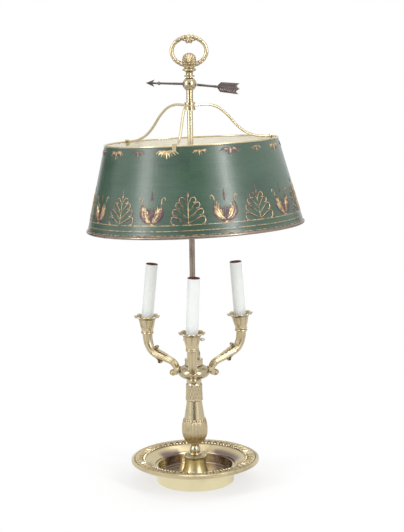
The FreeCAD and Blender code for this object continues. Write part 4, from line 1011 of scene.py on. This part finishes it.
def pillow(centre, reach, thickness, ribs, ribDepth, sides=120, rings=24):
    # A rounded plate: reach[angle] is its edge, its thickness falls as the root of one minus the share
    # squared, and ribs fan out from its centre
    angle = ringAngles(sides)[:, None]
    share = np.linspace(0.02, 1.0, rings)[None]
    edge = reach(angle)
    fan = np.cos(ribs * angle)
    depth = thickness * np.sqrt(np.clip(1 - share ** 2, 0, 1)) * (1 + ribDepth * fan * share)
    x = edge * share * np.sin(angle)
    z = edge * share * np.cos(angle)
    front = np.stack([x, -depth, z], axis=-1)
    back = np.stack([x, depth, z], axis=-1)[:, ::-1][:, 1:]
    points = np.concatenate([front, back], axis=1).transpose(1, 0, 2) + np.asarray(centre)
    # Between the ribs and towards the edge the plate is darkened: painted shade
    darker = np.clip(0.55 - 0.8 * fan * share, 0, 1) * share
    hollow = np.concatenate([darker, darker[:, ::-1][:, 1:]], axis=1).T
    return gridShape(points, wrapV=True, capU=True, hollow=hollow)


def handleRing():
    h = handle
    wide = h["width"] / 2 - h["tube"]
    high = h["height"] / 2 - h["tube"]
    broad = ((wide - h["side"]) ** 2 + high ** 2 - h["side"] ** 2) / (2 * (high - h["side"]))
    turn = math.atan2(wide - h["side"], broad - high)
    # The oval as one curve of its direction angle: broad arcs within the turn, small arcs beyond it
    angle = ringAngles(360)
    folded = np.abs((angle + math.pi / 2) % math.pi - math.pi / 2)
    sign = np.where(np.cos(angle) >= 0, 1.0, -1.0)
    side = np.where(np.sin(angle) >= 0, 1.0, -1.0)
    flat = folded <= turn
    x = np.where(flat, broad * np.sin(folded), (wide - h["side"]) + h["side"] * np.sin(folded)) * side
    z = np.where(flat, broad * np.cos(folded) - broad + high, h["side"] * np.cos(folded)) * sign
    middle = h["bottom"] + h["height"] / 2
    line = np.stack([x, 0 * x, middle + z], axis=-1)
    along = tangents(line, True)
    normal = np.stack([along[:, 2], 0 * x, -along[:, 0]], axis=-1)
    binormal = np.tile([0.0, 1.0, 0.0], (len(line), 1))
    phi = ringAngles(32)[None]
    a = angle[:, None]
    # Leaves grow up both sides from the shell and down from the crest, over a plain grip
    fromTop = np.abs((a + math.pi) % (2 * math.pi) - math.pi)
    lower = bump(fromTop, 2.05, 2.3)
    upper = bump(0.85 - fromTop, 0.0, 0.2)
    leafy = np.maximum(lower, upper)
    scale = np.abs(((fromTop * 4.6) % 1.0) * 2 - 1)
    ribbing = np.cos(5 * phi + 8 * scale)
    radii = h["tube"] * (1.0 - 0.06 * leafy) + leafy * (0.55 * (1 - scale) + 0.20 * ribbing)
    # The joins between the leaf scales are darkened: painted shade
    hollow = leafy * np.clip(0.5 * scale - 0.25 * ribbing, 0, 1)
    return sweep(line, normal, binormal, radii, 32, wrap=True, hollow=hollow)


def handleShell():
    h = handle

    def rim(t):
        fan = np.where(np.cos(t) > -0.25, 0.5 * h["shellWidth"] + 2.2 * np.cos(t), 7.5)
        return fan * (1 + 0.07 * np.abs(np.cos(h["lobes"] * t))) + 1.6 * bump(np.cos(t), 0.3, 1)

    return pillow((0, 0, h["bottom"] + 9.0), rim, 0.62 * h["thick"], 18, 0.22)


def handleCrest():
    h = handle

    def rim(t):
        return (0.36 * h["crestWidth"] + 1.8 * np.abs(np.sin(t)) ** 2) * (1 + 0.13 * np.cos(7 * t))

    return pillow((0, 0, h["bottom"] + h["height"] - 6.9), rim, 0.55 * h["thick"], 7, 0.25)


def handleCurls():
    # Rolled leaf tips in mirrored pairs: two beside the crest, one beside the shell
    h = handle
    curls = []
    for way in (-1, 1):
        for place, radius, startAngle in (((6.4, h["height"] - 2.0), 2.6, 250),
                                          ((9.4, h["height"] - 8.6), 2.4, 70),
                                          ((15.0, 9.6), 2.9, 250)):
            roll = spiral((place[0], h["bottom"] + place[1]), radius, startAngle, 1.2, 5.6, 0.85)
            curls.append(facingOut(moved(roll, lambda v, w=way: v * np.array([w, 1, 1]))))
    return curls


def handleCalyx():
    # Small leaves open from the neck up to the ring
    h = handle
    low, boss = h["bottom"], h["boss"]
    line = outline([
        (h["grip"], low), (boss + 0.9, low), ((boss + 1.5, low + 0.8), (boss + 0.7, low + 1.6)),
        ((boss + 2.0, low + 4.6), (boss + 5.0, low + 6.8)), (boss + 4.2, low + 7.5),
        (h["grip"], low + 7.0)], 0.4)
    leafSide = ((line[:, 0] > boss) * bump(line[:, 1], low + 1.6, low + 3.6))[None]
    notch = np.abs(np.cos(6 * ringAngles(240)[:, None])) ** 0.5
    # The notches between the small leaves are darkened: painted shade
    return turned(line, 240, leafSide * (0.9 * notch - 0.7), leafSide * np.clip(0.9 - notch, 0, 1))


def handleShape():
    return joined([handleRing(), handleShell(), handleCrest(), *handleCurls(), handleCalyx()])


addPiece("handle_cast", handleShape(), brasses["castGilt"], "stand", ["ring_handle"], 60)
print("handle made")

# Arrow: the fletched half, with barbs cut slantwise from its shaft

arrow = {
    "slope": 6.2, "shaftRadius": 2.4, "reach": 83.4, "length": 38.0, "height": 18.5, "thickness": 1.25,
    "ball": 11.75, "centre": 682.8, "barbs": 11, "rows": 70, "columns": 61,
}


def fletchShape():
    a = arrow
    start = a["ball"] + 0.6
    tip = a["reach"] - 3.0
    shaftLine = np.stack([np.linspace(start, tip, 60), np.zeros(60), np.zeros(60)], axis=-1)
    taper = np.linspace(1.0, 0.72, 60)[:, None] + np.zeros((60, 24))
    collar = 0.5 * np.exp(-((shaftLine[:, 0] - a["reach"] + a["length"] + 2) / 1.2) ** 2)[:, None]
    radii = (a["shaftRadius"] - 0.25) * taper + collar
    u = np.linspace(0, 1, a["rows"])[:, None]
    w = np.linspace(-1, 1, a["columns"])[None]
    side = np.abs(w)
    length = np.where(side < 0.5, a["length"] - 11.0 * side, a["length"] - 5.5 + 9.0 * (side - 0.5))
    x = a["reach"] - a["length"] + u * length
    rise = bump(u, -0.06, 0.20) * (0.86 + 0.14 * u)
    z = w * 0.5 * a["height"] * rise
    barb = np.abs((((x - a["reach"]) - 0.75 * np.abs(z)) / (a["length"] / a["barbs"])) % 1.0 * 2 - 1)
    thick = a["thickness"] * (0.55 + 0.45 * barb) * np.clip(1 - side ** 6, 0.12, 1)
    thick = thick * np.clip(u * 8 + 0.2, 0, 1) * np.clip((1 - u) * 14 + 0.15, 0, 1)
    # The cuts between the barbs are darkened: painted shade
    hollow = np.clip(0.9 - 1.2 * barb, 0, 1)
    front = np.stack([x, -thick, z], axis=-1)
    back = np.stack([x, thick, z], axis=-1)[:, ::-1]
    points = np.concatenate([front, back], axis=1)
    vane = gridShape(points, wrapV=True, hollow=np.concatenate([hollow, hollow[:, ::-1]], axis=1))
    parts = [planeSweep(shaftLine, radii, 24), closedEnds(vane, a["rows"], 2 * a["columns"])]
    turn = rotation((0, 1, 0), a["slope"])
    return moved(joined(parts), lambda v: v @ turn.T + np.array([0, 0, a["centre"]]))


def closedEnds(shape, nu, nv):
    # Flat ends of a two-sided plate: matching points of the front and back are joined in strips
    half = nv // 2
    index = np.arange(nu * nv).reshape(nu, nv)
    caps = []
    for row in (0, nu - 1):
        front = index[row, :half]
        back = index[row, half:][::-1]
        strip = np.stack([front[:-1], front[1:], back[1:], back[:-1]], axis=-1)
        caps.append(strip if row == 0 else strip[:, ::-1])
    shape = dict(shape)
    shape["q"] = np.concatenate([shape["q"]] + caps)
    return shape


addPiece("arrow_fletch", fletchShape(), brasses["arrowBronze"], "arrow_key", ["arrow_key"],
         45)
print("arrow made")

# Shade: a rolled cone of painted tin with a gilt border, leaning as its frame is bent

shade = {
    "topRadius": 144.7, "bottomRadius": 180.9, "height": 141.3, "wall": 0.6, "topWire": 1.5, "roll": 2.4,
    "topZ": 588.15, "leanRight": 2.2, "leanFront": 2.2, "pivotAbove": 31.6, "around": 360, "up": 72,
    "firstPalmette": -2.0, "firstLargeSpray": -13.8, "motifs": 9, "baseLine": 20.0, "lowerLine": 11.0,
}
slope = math.atan2(shade["bottomRadius"] - shade["topRadius"], shade["height"])
slant = shade["height"] / math.cos(slope)


def leanShade(v):
    pivot = np.array([0, 0, shade["topZ"] + shade["pivotAbove"]])
    v = about(v, pivot, rotation((0, -1, 0), shade["leanRight"]))
    return about(v, pivot, rotation((-1, 0, 0), shade["leanFront"]))


def onCone(azimuth, height, proud):
    # A point on the wall by azimuth in radians, height up the wall from the lower edge, and distance out
    down = slant - height
    radius = shade["topRadius"] + down * math.sin(slope) + proud * math.cos(slope)
    z = shade["topZ"] - down * math.cos(slope) + proud * math.sin(slope)
    return np.stack([radius * np.sin(azimuth), -radius * np.cos(azimuth), z], axis=-1)


def coneRadius(height):
    return shade["topRadius"] + (slant - height) * math.sin(slope)


def shadeShell():
    # Outer and inner walls with their edges, from hand-beaten tin: flats of a few hundredths
    s = shade
    azimuth = ringAngles(s["around"])[:, None]
    low = s["roll"] + 0.05
    high = slant - s["topWire"] - 0.05
    height = np.linspace(low, high, s["up"])[None]
    ripple = (0.05 * np.sin(7 * azimuth + 0.02 * height)
              + 0.04 * np.sin(13 * azimuth + 1.0) * np.sin(height / 31.0))
    outer = onCone(azimuth + 0 * height, height + 0 * azimuth, 0.5 * s["wall"] + ripple)
    inner = onCone(azimuth + 0 * height, height + 0 * azimuth, -0.5 * s["wall"] + ripple)[:, ::-1]
    shape = gridShape(np.concatenate([outer, inner], axis=1), wrapU=True, wrapV=True)
    return moved(shape, leanShade)


def addShade():
    piece = addPiece("shade_shell", shadeShell(), shadePaint, "shade", ["shade_cone"], 60)
    mesh = piece.data
    mesh.materials.append(shadeCream)
    nu, nv = shade["around"], 2 * shade["up"]
    # Faces past the outer wall's last ring are the inner wall
    faceV = np.arange(nu * nv) % nv
    mesh.polygons.foreach_set("material_index",
                              np.where((faceV >= shade["up"]) & (faceV < nv - 1), 1, 0).astype(np.int32))
    layer = mesh.uv_layers.new(name="around")
    loops = np.zeros(len(mesh.loops), np.int32)
    mesh.loops.foreach_get("vertex_index", loops)
    column = loops % nv
    row = loops // nv
    faceOf = np.repeat(np.arange(len(mesh.polygons)), 4)
    faceRow = faceOf // nv
    row = np.where((faceRow == nu - 1) & (row == 0), nu, row)
    share = np.where(column < shade["up"], column, nv - 1 - column) / (shade["up"] - 1)
    uv = np.stack([row / nu, share * slant * millimetre], axis=-1)
    layer.data.foreach_set("uv", uv.astype(np.float32).ravel())
    return piece


def stroke(points, azimuth, width, tone, proud=0.42, spread=(0.25, 1.0, 0.3), count=16):
    # A brush stroke on the cone: a flat crowned ribbon about a smooth line; x runs round, y up the wall
    line = through(points, count)
    along = tangents(line)
    across = np.stack([-along[:, 1], along[:, 0]], axis=-1)
    share = np.linspace(0, 1, count)
    half = 0.5 * width * np.interp(share, [0, 0.45, 1], spread)
    left = line + across * half[:, None]
    right = line - across * half[:, None]
    base = 0.5 * shade["wall"]
    rings = [(left, base + 0.04), (line, base + proud), (right, base + 0.04), (line, base - 0.12)]
    points3 = np.stack([onCone(azimuth + p[:, 0] / coneRadius(p[:, 1]), p[:, 1], lift) for p, lift in rings],
                       axis=1)
    alongTone = np.clip(tone + 0.12 * np.sin(share * 9 + azimuth * 5), 0, 1)
    tones = alongTone[:, None] + np.array([0.15, 0, -0.05, 0])[None]
    return gridShape(points3, wrapV=True, capU=True, tone=np.clip(tones, 0, 1))


palmette = [
    # frond: points from the stem outwards, over and back in; mirrored for the other side
    [(0, 3), (10, 6.5), (22, 12), (30, 13), (33, 8), (31, 2.5), (26, 1.2)],
    [(0, 11), (10, 17), (20, 24), (27, 25), (29.5, 20), (26.5, 15.5), (22, 15)],
    [(0, 21), (7, 27), (14, 34), (20, 35.5), (23, 31), (20, 26.5), (16, 26.5)],
    [(0, 31), (3, 37), (7, 42.5), (12.5, 43.5), (16, 39.5), (13.5, 35.5), (10, 36)],
]


# The fronds are drawn at this share of the width that the points above give
palmetteShare = 0.83
# The lotus cup's petals from the outside in, by side; the right one is painted darker
petalTones = {-1: (0.72, 0.30, 0.12, 0.42, 0.66), 1: (0.85, 0.52, 0.16, 0.34, 0.7)}


def palmetteStrokes(azimuth, base):
    parts = [stroke([(0, base), (0.3, base + 22), (0, base + 44)], azimuth, 1.5, 0.35, 0.5, (0.8, 1.0, 0.6)),
             stroke([(0, base + 42), (0.4, base + 48), (0, base + 57)], azimuth, 4.4, 0.62, 0.5,
                    (0.2, 1.0, 0.05)),
             stroke([(0.5, base + 43), (0.9, base + 47), (0.4, base + 52)], azimuth, 1.6, 0.1, 0.62,
                    (0.2, 1.0, 0.1))]
    for side in (-1, 1):
        for i, frond in enumerate(palmette):
            line = [(palmetteShare * side * x, base + y) for x, y in frond]
            shadow = [(palmetteShare * side * (x + 0.9), base + y - 1.1) for x, y in frond[1:]]
            parts.append(stroke(shadow, azimuth, 2.3, 0.92, 0.30, (0.3, 1.0, 0.5), 18))
            parts.append(stroke(line, azimuth, 1.45, 0.18 if side > 0 else 0.34, 0.52, (0.5, 0.9, 1.0), 22))
            if i < 3:
                mid = [(side * x * 0.75, base + y - 3.2) for x, y in frond[:4]]
                parts.append(stroke(mid, azimuth, 0.9, 0.5, 0.42, (0.6, 0.8, 0.1), 12))
    parts.append(stroke([(-30, base + 0.4), (0, base - 0.3), (30, base + 0.4)], azimuth, 1.5, 0.4, 0.45,
                        (0.2, 1, 0.2)))
    return parts


def cupStrokes(azimuth, base):
    # A lotus cup: feathered petals on both sides, curled tips, a flame between them and a small foot
    parts = [stroke([(0, base + 36), (0.3, base + 44), (0, base + 55)], azimuth, 4.6, 0.7, 0.5,
                    (0.3, 1.0, 0.05)),
             stroke([(-5, base + 1), (0, base + 2.4), (5, base + 1)], azimuth, 3.2, 0.25, 0.5, (0.2, 1, 0.2))]
    for x in (-5.5, -1.8, 1.8, 5.5):
        petal = [(0.25 * x, base + 3), (x, base + 13), (0.85 * x, base + 30 - abs(x))]
        parts.append(stroke(petal, azimuth, 4.3, 0.92 - 0.05 * abs(x), 0.30, (0.4, 1.0, 0.15), 12))
    for side in (-1, 1):
        for k in range(5):
            reach = 19.0 - 3.3 * k
            top = 38.0 - 3.0 * k
            line = [(side * (1.0 + 0.4 * k), base + 3.0 + 1.6 * k),
                    (side * 0.62 * reach, base + 6.5 + 2.6 * k),
                    (side * reach, base + 17.0 + 2.0 * k), (side * (reach - 0.8), base + 0.75 * top),
                    (side * (reach - 3.8 + 0.3 * k), base + top)]
            parts.append(stroke(line, azimuth, 4.4 - 0.35 * k, petalTones[side][k], 0.34 + 0.05 * k,
                                (0.35, 1.0, 0.12), 16))
        for k in range(4):
            x = 7.0 + 3.2 * k
            barb = [(side * (x - 3.0), base + 12 + 2.5 * k), (side * x, base + 19 + 2.6 * k),
                    (side * (x - 1.6), base + 27 + 2.2 * k)]
            parts.append(stroke(barb, azimuth, 1.5, 0.05 + 0.1 * k, 0.66, (0.2, 1.0, 0.1), 10))
        curl = [(side * 16.6, base + 34), (side * 16.8, base + 41), (side * 19.5, base + 45.0),
                (side * 22.4, base + 43.0), (side * 22.0, base + 40.0)]
        parts.append(stroke(curl, azimuth, 1.7, 0.3, 0.5, (1.0, 0.8, 0.5), 14))
    return parts


def sprayStrokes(azimuth, top, size, dark):
    # A hanging spray under the top edge: short leaves that fan down and out from a middle knot
    parts = []
    for i in range(-4, 5):
        lean = i / 4
        start = (lean * 4.5 * size, top - 3.0)
        end = (lean * 17.0 * size, top - (13.0 - 7.0 * abs(lean)) * size - 2.0)
        middle = (0.55 * (start[0] + end[0]), 0.5 * (start[1] + end[1]) + 1.2)
        tone = np.clip(dark + 0.5 * ((i * 7) % 3 - 1) * 0.5, 0, 1)
        parts.append(stroke([start, middle, end], azimuth, 3.4 * size, tone, 0.36 + 0.03 * (i % 2),
                            (0.3, 1.0, 0.15), 10))
    for i in range(3):
        x = (i - 1) * 5.0 * size
        knot = [(x - 2.2, top - 4.0), (x, top - 5.6 * size), (x + 2.2, top - 4.4)]
        parts.append(stroke(knot, azimuth, 2.2 * size, np.clip(dark - 0.3, 0, 1), 0.55, (0.3, 1, 0.3), 8))
    return parts


def hoop(height, width, tone):
    # A painted line all the way round
    azimuth = ringAngles(360)
    base = 0.5 * shade["wall"]
    wobble = 0.12 * np.sin(5 * azimuth) + 0.08 * np.sin(11 * azimuth + 1)
    rings = [(height + 0.5 * width, base + 0.04), (height, base + 0.3), (height - 0.5 * width, base + 0.04),
             (height, base - 0.12)]
    points = np.stack([onCone(azimuth, level + wobble, lift) for level, lift in rings], axis=1)
    return gridShape(points, wrapU=True, wrapV=True, tone=np.full((360, 4), tone))


def borderShape():
    s = shade
    parts = [hoop(s["baseLine"], 1.1, 0.28), hoop(s["lowerLine"], 1.0, 0.3),
             hoop(s["lowerLine"] - 2.2, 0.5, 0.75), hoop(s["roll"] + 1.2, 1.2, 0.45)]
    step = 360.0 / s["motifs"]
    for i in range(s["motifs"]):
        at = math.radians(s["firstPalmette"] + step * i)
        between = at + math.radians(step / 2)
        parts += palmetteStrokes(at, s["baseLine"])
        parts += cupStrokes(between, s["baseLine"])
        parts += sprayStrokes(math.radians(s["firstLargeSpray"] + step * i), slant - 3.5, 1.12,
                              0.4 + 0.3 * ((i * 5) % 3 - 1))
        parts += sprayStrokes(math.radians(s["firstLargeSpray"] + step * (i + 0.5)), slant - 4.0, 0.80,
                              0.55 + 0.2 * ((i * 4) % 3 - 1))
    return moved(joined(parts), leanShade)


addShade()
addPiece("shade_border", borderShape(), borderPaint, "shade", (), 80)
print("shade made")

# Stage: pale floor, dark cards, two tall soft lights and one from above, the camera at the photograph's place
studio = {
    "floorSize": 9.0, "floor": (0.92, 0.92, 0.925), "clearFrom": 0.12, "clearTo": 0.32, "shadowShare": 0.36,
    "worldFill": 0.66, "cardLight": (0.07, 0.0595, 0.056), "cardDark": (0.049, 0.042, 0.042),
    "leftLight": {"azimuth": -58.0, "distance": 2.0, "height": 1.25,
                  "width": 0.50, "tall": 1.8, "power": 19.0},
    "rightLight": {"azimuth": 41.0, "distance": 2.2, "height": 1.35,
                   "width": 0.22, "tall": 1.8, "power": 27.0},
    "topLight": {"place": (0.2, 0.3, 2.2), "size": 1.6, "power": 12.0}, "aim": 0.45,
}
# Dark cards whose reflections draw the metal's edges and middle: azimuth, distance, width, height
cards = {"cardFront": (0, 3.3, 1.9, 2.6), "cardRight": (128, 2.2, 1.5, 0.62),
         "cardLeft": (-128, 2.2, 1.5, 1.1)}


def mixShaders(tree, factor, first, second):
    mixed = addNode(tree, "ShaderNodeMixShader", n0=factor, n1=first.outputs[0], n2=second.outputs[0])
    tree.links.new(mixed.outputs[0], tree.nodes["Material Output"].inputs["Surface"])


def floorMaterial():
    # Shaded near the lamp, so that its shadow shows, and as white as the world further out and in the metal
    material, tree, shader = newMaterial("floorPaper")
    grain = groupNode(tree, tarnish, Size=3.0, Spread=0.5)
    near = tuple(c * 0.985 for c in studio["floor"])
    tree.links.new(mixColour(tree, grain.outputs["Islands"], studio["floor"], near),
                   shader.inputs["Base Color"])
    shader.inputs["Roughness"].default_value = 0.9
    shader.inputs["Specular IOR Level"].default_value = 0.1
    place = addNode(tree, "ShaderNodeTexCoord").outputs["Object"]
    away = addNode(tree, "ShaderNodeVectorMath", {"operation": "LENGTH"}, n0=place).outputs["Value"]
    clear = addNode(tree, "ShaderNodeMapRange", {"interpolation_type": "SMOOTHSTEP"}, Value=away,
                    From_Min=studio["clearFrom"], From_Max=studio["clearTo"],
                    To_Min=1 - studio["shadowShare"])
    path = tree.nodes.new("ShaderNodeLightPath")
    mirrored = mathNode(tree, "MAXIMUM", path.outputs["Is Glossy Ray"], path.outputs["Is Transmission Ray"])
    seen = mathNode(tree, "MULTIPLY", path.outputs["Is Camera Ray"], clear.outputs[0])
    white = addNode(tree, "ShaderNodeEmission", Color=(1, 1, 1, 1), Strength=1.0)
    mixShaders(tree, mathNode(tree, "MAXIMUM", seen, mirrored), shader, white)
    return material


def cardMaterial():
    # Dark to the metal and the light, clear to the camera
    material, tree, shader = newMaterial("cardCloth")
    grain = groupNode(tree, tarnish, Size=2.0, Spread=0.5)
    cloth = mixColour(tree, grain.outputs["Islands"], studio["cardLight"], studio["cardDark"])
    tree.links.new(cloth, shader.inputs["Base Color"])
    shader.inputs["Roughness"].default_value = 1.0
    seen = tree.nodes.new("ShaderNodeLightPath").outputs["Is Camera Ray"]
    mixShaders(tree, seen, shader, tree.nodes.new("ShaderNodeBsdfTransparent"))
    return material


def flatPiece(name, corners, material):
    mesh = bpy.data.meshes.new(name)
    mesh.from_pydata(corners, [], [(0, 1, 2, 3)])
    mesh.materials.append(material)
    return addObject(name, mesh)


def makeCard(name, card, material):
    azimuth, distance, width, tall = card
    a = math.radians(azimuth)
    out = np.array([math.sin(a), -math.cos(a), 0.0]) * distance
    side = np.array([math.cos(a), math.sin(a), 0.0]) * 0.5 * width
    up = np.array([0.0, 0.0, tall])
    corners = np.array([out - side, out + side, out + side + up, out - side + up])
    return flatPiece(name, corners[::-1].tolist(), material)


def makeStage():
    half = studio["floorSize"] / 2
    corners = [(-half, -half, 0), (half, -half, 0), (half, half, 0), (-half, half, 0)]
    floor = flatPiece("floor", corners, floorMaterial())
    floor.location = (0, 0, -0.0002)
    cloth = cardMaterial()
    [makeCard(name, card, cloth) for name, card in cards.items()]
    world = bpy.data.worlds.new("studioWorld")
    bpy.context.scene.world = world
    world.use_nodes = True
    tree = world.node_tree
    back = tree.nodes["Background"]
    path = tree.nodes.new("ShaderNodeLightPath")
    seen = mathNode(tree, "MAXIMUM", path.outputs["Is Camera Ray"], path.outputs["Is Glossy Ray"])
    seen = mathNode(tree, "MAXIMUM", seen, path.outputs["Is Transmission Ray"])
    strength = mathNode(tree, "MULTIPLY_ADD", seen, 1.0 - studio["worldFill"], studio["worldFill"])
    tree.links.new(strength, back.inputs["Strength"])
    back.inputs["Color"].default_value = (1, 1, 1, 1)


def areaLight(name, place, size, power):
    data = bpy.data.lights.new(name, "AREA")
    data.size = size
    data.energy = power
    lamp = addObject(name, data)
    lamp.location = place
    return lamp


def tallLight(name, light):
    a = math.radians(light["azimuth"])
    place = Vector((light["distance"] * math.sin(a), -light["distance"] * math.cos(a), light["height"]))
    lamp = areaLight(name, place, light["width"], light["power"])
    lamp.data.shape = "RECTANGLE"
    lamp.data.size_y = light["tall"]
    lamp.rotation_euler = (Vector((0, 0, studio["aim"])) - place).to_track_quat("-Z", "Y").to_euler()


def makeLights():
    tallLight("softLeft", studio["leftLight"])
    tallLight("softRight", studio["rightLight"])
    top = studio["topLight"]
    areaLight("softTop", top["place"], top["size"], top["power"])


camera = {
    # Solved from the photograph's ellipses: place in metres, angles in degrees, lens in millimetres
    "place": (0.065779, -2.520, 0.812203), "down": 9.808, "yaw": -1.122, "roll": -0.805, "lens": 102.30,
}


def makeCamera():
    down, yaw, roll = (math.radians(camera[key]) for key in ("down", "yaw", "roll"))
    ahead = Vector((math.sin(yaw) * math.cos(down), math.cos(yaw) * math.cos(down), -math.sin(down)))
    right = Vector((math.cos(yaw), -math.sin(yaw), 0))
    above = right.cross(ahead)
    x = math.cos(roll) * right + math.sin(roll) * above
    y = -math.sin(roll) * right + math.cos(roll) * above
    data = bpy.data.cameras.new("camera")
    data.lens = camera["lens"]
    data.sensor_width = 36.0
    data.clip_start = 0.05
    view = addObject("camera", data)
    view.matrix_world = Matrix.Translation(camera["place"]) @ Matrix((x, y, -ahead)).transposed().to_4x4()
    bpy.context.scene.camera = view


makeStage()
makeLights()
makeCamera()
bpy.context.scene.view_settings.view_transform = "Standard"
print("stage made")
